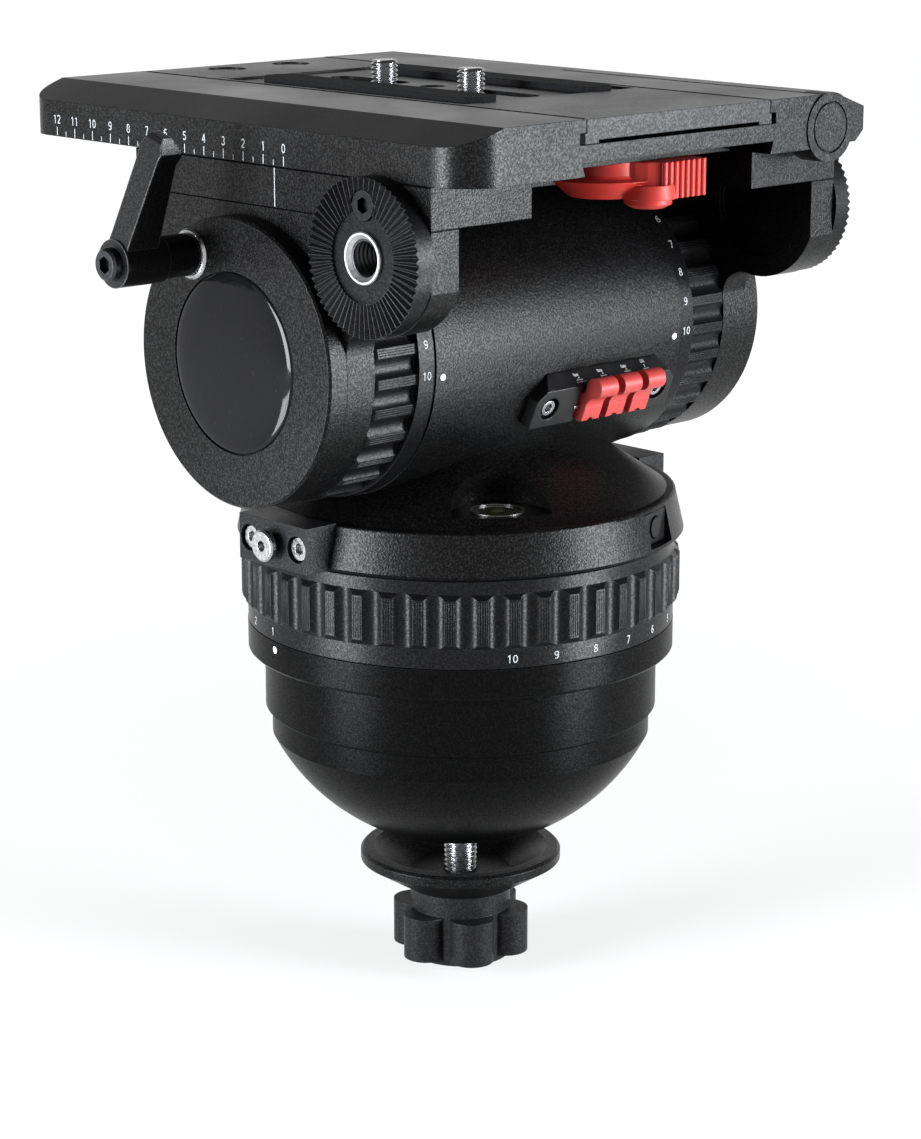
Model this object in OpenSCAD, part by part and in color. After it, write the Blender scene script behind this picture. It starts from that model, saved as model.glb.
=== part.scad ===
// Fluid video head with a levelling half ball of 150 mm.
// +Z is up, +Y is the way the camera looks, +X is the operator's right.
// The origin lies on the pan axis, in the plane where the half ball meets its collar.

/* [Half ball and base] */
// Radius of the levelling ball
ball_r = 75; // [72:0.5:80]
// Radius of the collar above the ball
collar_r = 67; // [64:0.5:68]
// Height of the collar
collar_h = 9.3; // [6:0.1:14]
// Radius of the neck
neck_r = 69.3; // [68:0.1:72]
// Height of the neck
neck_h = 21.6; // [14:0.1:30]
// Radius of the fixed ring that carries the index dot
base_ring_r = 75.1; // [73:0.1:78]
// Height of the fixed ring
base_ring_h = 11; // [8:0.5:16]
// Radius of the flat under the ball
ball_flat_r = 34; // [28:1:40]
// Radius of the pan shaft
pan_shaft_r = 14; // [10:0.5:16]
// Radius of the tower that the pan drag ring turns on
tower_r = 61.92; // [58:0.01:64]

/* [Tie-down] */
// Radius of the tie-down stud
stud_r = 6; // [5:0.5:8]
// Length of stud below the ball
stud_len = 56; // [46:1:80]
// Radius of the tie-down cup
cup_r = 36; // [30:1:44]
// Height of the tie-down cup
cup_h = 14; // [10:0.5:20]
// Gap between the ball and the cup, for the wall of the seat
seat_wall = 12; // [8:0.5:16]
// Radius of the tie-down knob over its lobes
knob_r = 25; // [20:1:32]
// Height of the tie-down knob
knob_h = 26; // [20:1:30]
// Number of finger lobes on the knob
knob_lobes = 6; // [4:1:8]

/* [Pan drag ring] */
// Radius of the number band
pan_band_r = 75; // [73:0.1:75.1]
// Height of the number band
pan_band_h = 6.6; // [5:0.1:9]
// Radius over the grip lands
pan_rib_r = 76.9; // [76.9:0.1:78]
// Height of the grip lands
pan_rib_h = 18.9; // [14:0.1:24]
// Radius of the smooth band above the lands
pan_top_r = 75.1; // [73:0.1:75.1]
// Height of the smooth band
pan_top_h = 4.8; // [3:0.1:7]
// Number of grip lands around the pan drag ring
pan_flutes = 45; // [36:1:48]
// Radius of the flutes between the lands
flute_r = 4.5; // [3.8:0.1:4.6]
// Depth of the flutes
flute_depth = 1.75; // [1.2:0.05:1.75]

/* [Turret] */
// Radius of the turret wall at its bottom
turret_r = 78.3; // [76.5:0.1:82]
// Radius of the turret wall at its rim
rim_r = 75.3; // [74.5:0.1:76]
// Height of the turret wall up to the rim
turret_wall_h = 15.4; // [13:0.1:20]
// Rounding of the rim
rim_round = 1.2; // [0.8:0.1:2.5]
// Radius of the foot of the dome
dome_r = 72.1; // [70:0.1:73]
// Rise of the dome for each mm inward
dome_slope = 0.66; // [0.5:0.01:0.75]
// Rise of the tilt axis above the rim
tilt_rise = 55.4; // [54:0.1:60]
// Bearing outer radius on the pan shaft
pan_bearing_r = 26; // [22:0.5:30]

/* [Tilt drum] */
// Radius of the drum housing
drum_r = 50; // [49.8:0.1:51]
// Half length of the drum housing
drum_half = 57.9; // [54:0.1:60]
// Radius of the spigots that the drag rings turn on
spigot_r = 40; // [36:0.5:42]
// Radius of the tilt shaft
tilt_shaft_r = 12; // [9:0.5:14]
// Bearing outer radius on the tilt shaft
tilt_bearing_r = 22; // [18:0.5:26]
// Width of each tilt bearing
tilt_bearing_w = 12; // [8:1:16]
// Radius of the space inside the drum
drum_bore_r = 38; // [34:0.5:39]

/* [Tilt drag rings] */
// Radius of the number band on the tilt rings
ring_band_r = 49.4; // [47:0.1:49.5]
// Width of the number band on the tilt rings
ring_band_w = 6.8; // [5:0.1:8]
// Radius over the grip lands of the tilt rings
ring_rib_r = 48.4; // [46:0.1:49]
// Width of the grip lands of the tilt rings
ring_rib_w = 17.2; // [14:0.1:18]
// Number of grip lands around each tilt ring
ring_flutes = 30; // [20:1:30]

/* [Cheeks and end caps] */
// Thickness of the cheeks
cheek_t = 11.6; // [10:0.1:13]
// Radius of the round end caps
cap_r = 47.8; // [46.5:0.1:48.5]
// Thickness of the end caps
cap_t = 7.4; // [5:0.1:10]
// Radius of the domed badge
badge_r = 29.7; // [26:0.1:30]
// Crown of the domed badge
badge_crown = 2.2; // [1:0.1:3]

/* [Pan bar rosettes] */
// Radius of the toothed rosettes
rosette_r = 25; // [22:0.5:27]
// Thickness of the rosettes over the teeth
rosette_t = 7.4; // [5.5:0.1:8]
// Distance of the rosettes behind the tilt axis
rosette_back = 63; // [58:0.5:66]
// Height of the rosettes above the tilt axis
rosette_up = 41.2; // [36:0.2:44]
// Number of teeth on each rosette
rosette_teeth = 60; // [40:1:72]
// Inner radius of the teeth
tooth_in_r = 14.2; // [12:0.1:16]
// Share of the tooth pitch taken by the grooves
tooth_share = 0.94; // [0.7:0.02:0.96]
// Radius of the steel thread inserts
insert_r = 8.3; // [7:0.1:9]
// Radius of the thread in the inserts
insert_thread_r = 6; // [4:0.1:6.2]

/* [Platform] */
// Height of the platform's underside above the tilt axis
cheek_rise = 51.2; // [51:0.1:56]
// Thickness of the platform
platform_t = 13.25; // [11:0.05:16]
// Front end of the platform
platform_front = 58; // [48:0.5:66]
// Rear end of the platform's legs
platform_rear = 86.5; // [84:0.5:90]
// Half width of the opening between the rear legs
gap_half = 51.5; // [48:0.5:56]
// Front end of the opening between the rear legs, behind the tilt axis
gap_front = 34; // [31:0.5:36]
// Rear end of the dovetail rail, behind the tilt axis
rail_rear = 84; // [82:0.5:88]

/* [Sliding plate] */
// Thickness of the sliding plate
slab_t = 17.8; // [16.5:0.1:20]
// Front end of the sliding plate
slab_front = 120; // [104:0.5:126]
// Rear end of the sliding plate
slab_rear = 101.6; // [98:0.2:110]
// Height of the vertical flank
flank_h = 12.1; // [9:0.1:14]
// Width of the sloped shoulder
shoulder_w = 16; // [10:0.2:18]
// Corner rounding at the rear left
rear_corner_r = 15; // [6:0.5:16]
// Corner rounding at the front
front_corner_r = 12; // [4:0.5:14]
// Half width of the dovetail groove at its mouth
dovetail_half = 43.3; // [38:0.1:46]
// Undercut of the dovetail
dovetail_undercut = 1.4; // [0.8:0.1:2]
// Depth of the dovetail groove
dovetail_depth = 4.2; // [3:0.1:5]

/* [Camera plate] */
// Half width of the channel between its lips
channel_half = 43; // [40:0.1:44]
// Depth of the channel
channel_depth = 7.9; // [7:0.1:8.5]
// Overhang of the channel's lips
lip_over = 2.7; // [1.5:0.1:3.2]
// Thickness of the channel's lips
lip_t = 4.2; // [3.4:0.1:4.4]
// Depth of the recess for the pads
pad_recess = 0.8; // [0.4:0.1:1.2]
// Front end of the pad recess
recess_front = 77; // [68:0.5:80]
// Rear end of the pad recess, behind the tilt axis
recess_rear = 43.5; // [42:0.5:60]
// Thickness of the rubber pads
pad_t = 2.2; // [1.6:0.1:3]
// Width of the rubber pads
pad_w = 14; // [10:0.5:16]
// Distance of the pads from the middle line
pad_x = 27; // [22:0.5:29]
// Radius of the camera screws (3/8 inch)
screw_r = 4.7625; // [3.175, 4.7625]
// Height of the camera screws above the plate
screw_stand = 6.7; // [6:0.1:10]
// Place of the front camera screw
screw_front_y = 38.5; // [33.1:0.1:59.4]
// Place of the rear camera screw
screw_rear_y = -5.2; // [-30:0.1:-5.1]

/* [Plate clamp] */
// Distance of the clamp lever's axis from the right flank
clamp_in = 20.7; // [18.2:0.1:22.2]
// Height of the clamp lever's axis above the sliding plate's underside
clamp_up = 6.6; // [6.4:0.1:7]
// Radius of the clamp lever's barrel
barrel_r = 11.65; // [10.5:0.05:11.8]
// Front end of the clamp lever
lever_front = 20; // [0:1:40]
// Length of the round barrel at the rear
barrel_len = 9.4; // [7:0.2:9.6]

/* [Tilt lock] */
// Distance of the tilt lock in front of the tilt axis
lock_fwd = 20.6; // [18:0.1:23]
// Height of the tilt lock above the tilt axis
lock_up = 33.6; // [31:0.1:34]
// Radius of the tilt lock bushing
lock_bush_r = 7.4; // [6.6:0.1:7.6]
// Radius of the tilt lock's shaft
lock_shaft_r = 5; // [4:0.1:6]
// Reach of the lever's hub beyond the end cap
lock_reach = 31.6; // [30:0.1:40]
// Length of the lever's arm
lock_arm = 43; // [38:0.5:60]

/* [Slide lock] */
// Distance of the slide lock's pivot behind the tilt axis
slide_lock_back = 68; // [66:0.5:69]
// Radius of the slide lock's neck
slide_neck_r = 14; // [12.5:0.5:15]
// Radius of the slide lock's skirt
slide_skirt_r = 18.5; // [17:0.5:20]
// Height of the slide lock over all
slide_lock_h = 12; // [11:0.1:13.5]

/* [Switches and blocks] */
// Distance from one switch to the next
switch_pitch = 11.6; // [10.8:0.1:11.6]
// Width of each switch
switch_w = 8.4; // [8:0.1:10]
// Middle of the switch bracket
bracket_x = 19.5; // [12:0.5:21]
// Middle of the switches
switch_x = 23.5; // [22:0.1:24]
// Distance between the bracket's screws
bracket_span = 52.5; // [52:0.1:56]
// Height of the bracket's face
bracket_h = 14; // [13.5:0.1:15]
// Distance of the bracket's face from the tilt axis
bracket_face = 54.6; // [54.2:0.1:55]
// Angle of the bracket below the horizontal
bracket_drop = 22.4; // [20:0.2:24]
// Half width of the accessory blocks
block_half = 17.2; // [15:0.1:20]
// Height of the accessory blocks
block_h = 15.6; // [14:0.1:15.8]
// Outer face of the accessory blocks
block_face = 86; // [83:0.2:90]

/* [Bubble level and light] */
// Radius of the bubble level
bubble_r = 9.2; // [7:0.1:10]
// Distance of the bubble from the pan axis
bubble_out = 57; // [56:0.5:59]
// Angle of the bubble from the rear, towards the left
bubble_angle = 31; // [20:1:40]
// Radius of the scoop round the bubble
scoop_r = 17; // [15:0.5:18]
// Angle of the light button from the rear, towards the right
light_angle = 18.4; // [14:0.2:26]
// Radius of the light button
light_button_r = 3.6; // [2.5:0.1:4]

/* [Clearances] */
// Radial running clearance of shafts
run = 0.06; // [0.03:0.01:0.09]
// Gap between sliding faces
slide_gap = 0.15; // [0.1:0.01:0.3]
// Gap between parts that pass each other
gap = 0.3; // [0.25:0.05:0.5]

/* [Hidden] */
$fn = 96;
EPS = 0.01;
BIG = 400;

// Heights, from the collar upwards
z_neck = collar_h + neck_h;
z_base = z_neck + base_ring_h;
z_ring = z_base + gap;
z_rib = z_ring + pan_band_h;
z_rib_top = z_rib + pan_rib_h;
z_ring_top = z_rib_top + pan_top_h;
z_tower = z_ring_top - gap;
z_turret = z_ring_top + 2 * gap;
z_rim = z_turret + turret_wall_h;
z_tilt = z_rim + tilt_rise;
z_plat = z_tilt + cheek_rise;
z_plat_top = z_plat + platform_t;
z_slab = z_plat_top + slide_gap;
z_slab_top = z_slab + slab_t;
z_channel = z_slab_top - channel_depth;
z_lip = z_slab_top - lip_t;
z_pad = z_slab_top - pad_recess;

// Length that the flutes run past the lands' chamfers
flute_run = 0.25;
// Angle of the tilt rings' lands round the tilt axis
ring_turn = -2.2;

// Ball below the collar
ball_up = sqrt(ball_r * ball_r - collar_r * collar_r);
z_flat = ball_up - sqrt(ball_r * ball_r - ball_flat_r * ball_flat_r);
z_stud_end = z_flat - stud_len;
z_cup = z_flat - seat_wall;
z_cup_low = z_cup - cup_h;

// Pan bearing stack, from the shoulder of the base upwards
boss_r = 22;
shoulder_z = z_turret + gap;
bearing_low_z = shoulder_z + gap;
bearing_h = 6.5;
bearing_high_z = bearing_low_z + bearing_h + gap;
nut_z = bearing_high_z + bearing_h + gap;
nut_h = 5.6;
pan_bore_top = nut_z + nut_h + 1;
damper_z = z_base + 8;

// Turret wall
wall_chamfer = 1.2;
dome_top_r = 30;

// Tilt drum, from the middle outwards
ring_x = drum_half + gap;
ring_rib_x = ring_x + ring_band_w;
ring_end_x = ring_rib_x + ring_rib_w;
cheek_gap = 0.4;
cheek_x = ring_end_x + cheek_gap;
flank_x = cheek_x + cheek_t;
spigot_x = cheek_x - 2 * gap;
bearing_x = drum_half + 2;
drum_wall = 8;
drum_space = drum_half - drum_wall;
cap_x = flank_x + cap_t;

// Camera plate
plate_gap = 0.3;
plate_half = channel_half - plate_gap;
runner_half = channel_half + lip_over - plate_gap;
runner_w = 8;
z_runner = z_channel + slide_gap;
z_runner_top = z_lip - slide_gap;
plate_lift = 1.2;
z_plate = z_channel + plate_lift;
plate_front = slab_front - 0.6;
corner_cut = 1.4;
slot_clear = 0.24;
slot_r = screw_r + slot_clear;
front_slot = [33, 59.5];
rear_slot = [-31, -5];
middle_hole_r = 4.5;
washer_r = 8.2;
head_r = 7.4;
seat_r = washer_r + gap;
washer_t = 0.9;
z_washer = z_plate + 2.9;
z_seat = z_washer + washer_t + slide_gap;
z_head = z_plate + 0.3;
z_thread = z_pad + gap;
screw_undercut = 0.5;
screw_tip = 0.8;

// Plate clamp
clamp_x = flank_x - clamp_in;
z_clamp = z_slab + clamp_up;
wing_top = slab_t - clamp_up;
wing_back = 3.6;
wing_swing_r = norm([clamp_in - shoulder_w, wing_top]);
clamp_bore_r = max(barrel_r, wing_swing_r) + gap;
barrel_front = -slab_rear + barrel_len;
wing_rear = -slab_rear + 3;
wing_low = clamp_up - 0.5;
core_r = wing_low;
jaw_rear = -30;
jaw_front = lever_front - 2;
jaw_w = 8;
jaw_x = runner_half + gap;
jaw_travel = 2.5;
jaw_rod_r = 2.4;
jaw_rod_end = clamp_x - clamp_bore_r - jaw_travel;

// Platform screws, from above into the cheeks
platform_screw_x = flank_x - 6;
platform_screw_ys = [-30, 5, 40];
platform_screw_r = 4.3;
platform_screw_h = 4;
platform_screw_deep = 4.6;
platform_shank_r = 2.5;

// Tilt lock
lock_y = lock_fwd;
lock_z = z_tilt + lock_up;
lock_lean = 16;
lock_hub_r = 7.9;
lock_neck_r = 7;
lock_cover_r = 5.4;
lock_cover_h = 3.6;
lock_x = -cap_x - lock_reach;

// Slide lock under the rail's tongue
rail_half = dovetail_half - gap;
rail_h = dovetail_depth - gap + slide_gap;
z_lock_top = z_plat_top - gap;
z_lock = z_lock_top - slide_lock_h;
lock_bolt_r = 5;
lock_bolt_head_r = 6.6;
lock_bolt_head_h = 3.6;
lock_seat_z = z_lock + 4.6;
skirt_z = z_lock + 6;
grip_near = 4;
grip_far = 22;
grip_left = 4;
grip_right = 25;
grip_rib_r = 0.9;
safety_x = 5.2;
safety_back = 14.8;
safety_r = 7.8;
safety_drop = 3.4;
safety_travel = 2;
safety_well = 3.5;

// Rosettes
rosette_y = -rosette_back;
rosette_z = z_tilt + rosette_up;
boss_round = rosette_r + 0.3;
rosette_face_x = flank_x + rosette_t;
hub_step = 1.4;
tooth_fall = atan(PI / rosette_teeth * tooth_share);
tooth_h = 1.5;
insert_stand = 1.4;
insert_deep = 8;
insert_edge = 0.4;
insert_mouth = 1.4;
rosette_screw_up = 16.3;
rosette_screw_r = 4.8;
rosette_shank_r = 3;
rosette_shank_len = 6;
rosette_seat_t = 2.6;

// Switches
switch_count = 3;
bracket_end = 6.8;
bracket_half = bracket_span / 2 + bracket_end;
bracket_corner = 3.4;
label_rise = 3.6;
label_back = drum_r - 1.1;
switch_axis_n = 53.6;
switch_axis_t = -1.5;
switch_pin_r = 1.2;
bulb_r = 3.5;
waist_r = 5;
tail_end = 6.1;
notch_r = 1.6;
waist_sink = 0.15;
pin_seat = 0.8;
window_half = (switch_count * switch_pitch - 0.6) / 2;
window_high = 4.6;
well_r = 4.1;
well_deep = 3;
bracket_screw_r = 3.4;

// Blocks, panel and bubble
block_z = z_turret + gap;
block_screw_y = block_half - 5.2;
block_screw_r = 3.9;
block_head_h = 2.8;
block_screw_in = 1.2;
block_screw_len = 9;
block_seat = block_face - block_screw_in - block_head_h;
block_screw_well = 4.6;
block_shank_r = 2.5;
screw_fit = 0.05;
pin_r = 3;
pin_end = block_face + 5.1;
pin_flange_r = 5.4;
pin_flange_t = 2;
pin_neck_r = 4.4;
pin_hole_r = 1.8;
pin_z = block_z + block_h / 2;
panel_w = 16;
panel_h = 11.2;
panel_z = z_turret + 2.4;
panel_out = rim_r - 0.4;
panel_t = 1;
light_button_stand = 0.5;
bubble_z = z_rim + 3.1;
scoop_out = bubble_out + 5;
bubble_ring_w = 1.1;
bubble_seat = 4;

// Cylinder along X from x0 to x1, round the tilt axis by default
module rod_x(r, x0, x1, y = 0, z = z_tilt) {
  translate([x0, y, z])
    rotate([0, 90, 0])
      cylinder(r = r, h = x1 - x0);
}

// Revolved outline round the tilt axis: the outline's y runs along X
module turned_x(y = 0, z = z_tilt) {
  translate([0, y, z])
    rotate([0, 90, 0])
      rotate_extrude()
        children();
}

// Ring of equal flutes cut round the Z axis, from the origin upwards
module flutes(count, land_r, h) {
  for (i = [0 : count - 1])
    rotate([0, 0, (i + 0.5) * 360 / count])
      translate([land_r + flute_r - flute_depth, 0, 0])
        cylinder(r = flute_r, h = h, $fn = 32);
}

// Extrusion of an outline drawn in the YZ plane, from x0 to x1
module plate_x(x0, x1) {
  translate([x0, 0, 0])
    rotate([90, 0, 90])
      linear_extrude(x1 - x0)
        children();
}

// Extrusion of an outline drawn in the XZ plane, from y0 to y1
module plate_y(y0, y1) {
  translate([0, y1, 0])
    rotate([90, 0, 0])
      linear_extrude(y1 - y0)
        children();
}

// The same piece on both sides of the head
module both_sides() {
  children();
  mirror([1, 0, 0])
    children();
}

// Socket-head screw along Z with its head at the bottom of the well, top face at z = 0
module socket_screw(head, head_h, shank, shank_len) {
  difference() {
    union() {
      translate([0, 0, -head_h])
        cylinder(r = head, h = head_h);
      translate([0, 0, -head_h - shank_len])
        cylinder(r = shank, h = shank_len + EPS);
    }
    translate([0, 0, -head_h * 0.6])
      cylinder(r = head * 0.55, h = head_h, $fn = 6);
  }
}

// Base
module half_ball() {
  color("#26272a")
    difference() {
      union() {
        rotate_extrude()
          intersection() {
            translate([0, ball_up])
              circle(r = ball_r, $fn = 180);
            translate([0, z_flat])
              square([collar_r, -z_flat]);
          }
        cylinder(r = collar_r, h = collar_h);
      }
      translate([0, 0, z_flat - 1])
        cylinder(r = stud_r, h = collar_h - z_flat + 2);
    }
}

module base_housing() {
  color("#232427")
    rotate_extrude()
      polygon([
        [pan_shaft_r, collar_h], [neck_r - 0.8, collar_h], [neck_r, collar_h + 0.8],
        [neck_r, z_neck], [base_ring_r - 1, z_neck], [base_ring_r, z_neck + 1],
        [base_ring_r, z_base], [tower_r, z_base], [tower_r, z_tower],
        [tower_r - 5, z_tower], [tower_r - 5, damper_z - 4], [boss_r, damper_z - 4],
        [boss_r, shoulder_z], [pan_shaft_r, shoulder_z]
      ]);
}

module pan_shaft() {
  color("#b9bcc0")
    translate([0, 0, collar_h])
      cylinder(r = pan_shaft_r, h = nut_z + nut_h - collar_h);
}

module pan_shaft_nut() {
  color("#8f9296")
    translate([0, 0, nut_z])
      difference() {
        cylinder(r = pan_shaft_r + 6, h = nut_h, $fn = 6);
        translate([0, 0, -1])
          cylinder(r = pan_shaft_r, h = nut_h + 2);
      }
}

module tie_down_stud() {
  color("#b9bcc0")
    translate([0, 0, z_stud_end])
      cylinder(r = stud_r, h = collar_h - z_stud_end);
}

module tie_down_cup() {
  color("#2b2c2f")
    rotate_extrude()
      polygon([
        [stud_r + run, z_cup_low], [cup_r * 0.55, z_cup_low], [cup_r, z_cup - 4],
        [cup_r, z_cup - 1], [cup_r - 1, z_cup], [cup_r - 5, z_cup],
        [cup_r * 0.5, z_cup_low + 5], [stud_r + run, z_cup_low + 5]
      ]);
}

module tie_down_knob() {
  color("#1d1e20")
    translate([0, 0, z_cup_low - gap - knob_h])
      difference() {
        union() {
          cylinder(r = knob_r * 0.72, h = knob_h);
          for (i = [0 : knob_lobes - 1])
            rotate([0, 0, i * 360 / knob_lobes])
              translate([knob_r * 0.68, 0, 2])
                cylinder(r = knob_r * 0.32, h = knob_h - 10);
        }
        translate([0, 0, -1])
          cylinder(r = stud_r + run, h = knob_h + 2);
      }
}

module pan_drag_ring() {
  color("#1f2022")
    difference() {
      rotate_extrude()
        polygon([
          [tower_r + run, z_ring], [pan_band_r, z_ring], [pan_band_r, z_rib],
          [pan_rib_r, z_rib + pan_rib_r - pan_band_r],
          [pan_rib_r, z_rib_top - pan_rib_r + pan_top_r], [pan_top_r, z_rib_top],
          [pan_top_r, z_ring_top - 0.6],
          [pan_top_r - 0.6, z_ring_top], [tower_r + run, z_ring_top]
        ]);
      translate([0, 0, z_rib - flute_run])
        flutes(pan_flutes, pan_rib_r, pan_rib_h + 2 * flute_run);
    }
}

// Turret: tapered wall, rounded rim, a narrow ledge and the dome up to the drum
function dome_z(r) = z_rim + dome_slope * (dome_r - r);

// Radius of the tapered wall at a height
function wall_r(z) = turret_r - (z - z_turret - wall_chamfer) * (turret_r - rim_r)
  / (turret_wall_h - wall_chamfer - rim_round);

module turret_profile() {
  polygon([
    [pan_bearing_r, z_turret], [turret_r - wall_chamfer, z_turret],
    [turret_r, z_turret + wall_chamfer], [rim_r, z_rim - rim_round],
    [rim_r - rim_round, z_rim], [dome_r, z_rim], [dome_top_r, dome_z(dome_top_r)],
    [0, dome_z(dome_top_r)], [0, pan_bore_top], [pan_bearing_r, pan_bore_top]
  ]);
  intersection() {
    translate([rim_r - rim_round, z_rim - rim_round])
      circle(r = rim_round, $fn = 48);
    translate([0, z_rim - rim_round])
      square([turret_r, rim_round]);
  }
}

module bubble_place() {
  rotate([0, 0, -bubble_angle])
    translate([0, -bubble_out, bubble_z])
      children();
}

module light_place() {
  rotate([0, 0, light_angle])
    translate([0, -panel_out, panel_z + panel_h / 2])
      rotate([90, 0, 0])
        children();
}

module turret_housing() {
  color("#28292b")
    difference() {
      union() {
        difference() {
          rotate_extrude()
            turret_profile();
          // Room for the tilt rings over the dome
          both_sides()
            rod_x(drum_r, drum_half, flank_x);
        }
        rod_x(drum_r, -drum_half, drum_half);
        rod_x(spigot_r, -spigot_x, spigot_x);
      }
      rod_x(tilt_bearing_r, -BIG, BIG);
      rod_x(drum_bore_r, -drum_space, drum_space);
      // Scoop and seat of the bubble level
      rotate([0, 0, -bubble_angle])
        translate([0, -scoop_out, bubble_z])
          difference() {
            sphere(r = scoop_r);
            translate([-BIG / 2, -BIG / 2, -BIG])
              cube([BIG, BIG, BIG]);
          }
      bubble_place()
        translate([0, 0, -bubble_seat])
          cylinder(r = bubble_r, h = bubble_seat + 1);
      // Flat pocket and bore of the light button
      light_place()
        translate([-panel_w / 2 - gap, -panel_h / 2 - gap, -panel_t])
          cube([panel_w + 2 * gap, panel_h + 2 * gap, 20]);
      light_place()
        translate([0, 0, -panel_t - 5])
          cylinder(r = light_button_r + gap, h = 10);
      // Screw holes of the accessory blocks
      both_sides()
        for (s = [-1, 1])
          rod_x(block_shank_r + screw_fit, -block_face, -dome_r + 8, s * block_screw_y, pin_z);
      rod_x(pin_r + gap, -block_face, -dome_r + 8, 0, pin_z);
    }
}

module pan_bearings() {
  color("#a8abb0")
    for (z = [bearing_low_z, bearing_high_z])
      translate([0, 0, z])
        rotate_extrude()
          polygon([
            [pan_shaft_r + run, 0], [pan_bearing_r, 0], [pan_bearing_r, bearing_h],
            [pan_bearing_r - 4, bearing_h], [pan_bearing_r - 4, bearing_h - 0.6],
            [pan_shaft_r + 4, bearing_h - 0.6], [pan_shaft_r + 4, bearing_h],
            [pan_shaft_r + run, bearing_h]
          ]);
}

module pan_damper() {
  damper_out = tower_r - 7;
  damper_top = z_turret - 7;
  color("#6f7378")
    rotate_extrude()
      polygon([
        [boss_r + 2, damper_z], [damper_out, damper_z], [damper_out, damper_top],
        [boss_r + 8, damper_top], [pan_bearing_r + 4, z_turret], [pan_bearing_r + EPS, z_turret],
        [boss_r + 2, z_turret - 3]
      ]);
}

// Accessory block against the turret wall, drawn for the left side
module block_solid() {
  difference() {
    translate([-block_face, -block_half, block_z])
      cube([block_face - rim_r + 6, 2 * block_half, block_h]);
    translate([0, 0, z_turret - wall_chamfer])
      cylinder(r1 = wall_r(z_turret - wall_chamfer), r2 = wall_r(z_rim + 3),
        h = turret_wall_h + wall_chamfer + 3, $fn = 128);
    for (s = [-1, 1]) {
      rod_x(block_screw_well, -block_face - 1, -block_seat, s * block_screw_y, pin_z);
      rod_x(block_shank_r + screw_fit, -block_face - 1, -block_seat + block_screw_len + gap,
        s * block_screw_y, pin_z);
    }
  }
}

module left_block() {
  color("#1c1d1f")
    difference() {
      block_solid();
      rod_x(pin_r + run, -block_face - 1, -rim_r + 8, 0, pin_z);
    }
}

module right_block() {
  color("#1c1d1f")
    mirror([1, 0, 0])
      block_solid();
}

module block_screws() {
  color("#c4c6c9")
    both_sides()
      for (s = [-1, 1])
        translate([-block_face + block_screw_in, s * block_screw_y, pin_z])
          rotate([0, -90, 0])
            socket_screw(block_screw_r, block_head_h, block_shank_r, block_screw_len);
}

module pan_lock_pin() {
  color("#c9cacc")
    difference() {
      union() {
        rod_x(pin_r, -block_face - 1, -rim_r - 1, 0, pin_z);
        turned_x(0, pin_z)
          polygon([
            [0, -pin_end], [pin_flange_r - 0.6, -pin_end], [pin_flange_r, -pin_end + 0.6],
            [pin_flange_r, -pin_end + pin_flange_t], [pin_neck_r, -pin_end + pin_flange_t + 0.2],
            [pin_r + 0.5, -block_face - gap], [0, -block_face - gap]
          ]);
      }
      rod_x(pin_hole_r, -pin_end - 1, -pin_end + 3, 0, pin_z);
    }
}

module bubble_ring() {
  color("#a9865a")
    bubble_place()
      translate([0, 0, -bubble_seat])
        difference() {
          cylinder(r = bubble_r, h = bubble_seat + 0.5);
          translate([0, 0, 1])
            cylinder(r = bubble_r - bubble_ring_w, h = bubble_seat + 1);
        }
}

module bubble_vial() {
  color("#9fb86a")
    bubble_place()
      translate([0, 0, 1 - bubble_seat])
        cylinder(r = bubble_r - bubble_ring_w, h = bubble_seat - 1);
}

module light_panel() {
  color("#202123")
    light_place()
      difference() {
        translate([-panel_w / 2, -panel_h / 2, -panel_t])
          cube([panel_w, panel_h, panel_t]);
        translate([0, 0, -panel_t - 1])
          cylinder(r = light_button_r + run, h = panel_t + 2);
      }
}

module light_button() {
  color("#2e2f31")
    light_place()
      translate([0, 0, -panel_t - 2])
        cylinder(r = light_button_r, h = panel_t + 2 + light_button_stand);
}

// Place on the drum's rear: local +X stays, local +Y runs up the drum, local +Z points out
module bracket_place() {
  translate([bracket_x, 0, z_tilt])
    rotate([90 + bracket_drop, 0, 0])
      children();
}

// Bracket: a block on the drum with a sloped label face above, open below for the switches
module switch_bracket() {
  half_h = bracket_h / 2;
  color("#161718")
    difference() {
      bracket_place()
        intersection() {
          linear_extrude(BIG)
            polygon([
              [-bracket_half, -half_h], [bracket_half, -half_h], [bracket_half, half_h - bracket_corner],
              [bracket_half - bracket_end, half_h + label_rise],
              [-bracket_half + bracket_end, half_h + label_rise],
              [-bracket_half, half_h - bracket_corner]
            ]);
          translate([-bracket_half - 1, 0, 0])
            rotate([90, 0, 90])
              linear_extrude(2 * bracket_half + 2)
                polygon([
                  [-half_h, drum_r - 6], [-half_h, bracket_face], [half_h, bracket_face],
                  [half_h + label_rise, label_back], [half_h + label_rise, drum_r - 6]
                ]);
        }
      rod_x(drum_r, -drum_half - 1, drum_half + 1);
      switch_place()
        translate([-window_half, -BIG, 0])
          cube([2 * window_half, BIG + window_high, BIG]);
      switch_place()
        translate([-window_half - pin_seat, switch_axis_t, switch_axis_n])
          rotate([0, 90, 0])
            cylinder(r = switch_pin_r, h = 2 * (window_half + pin_seat));
      bracket_screw_places()
        translate([0, 0, -well_deep])
          cylinder(r = well_r, h = 20);
    }
}

module switch_place() {
  translate([switch_x - bracket_x, 0, 0])
    bracket_place()
      children();
}

module bracket_screw_places() {
  for (s = [-1, 1])
    bracket_place()
      translate([s * bracket_span / 2, 0, bracket_face])
        children();
}

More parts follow.
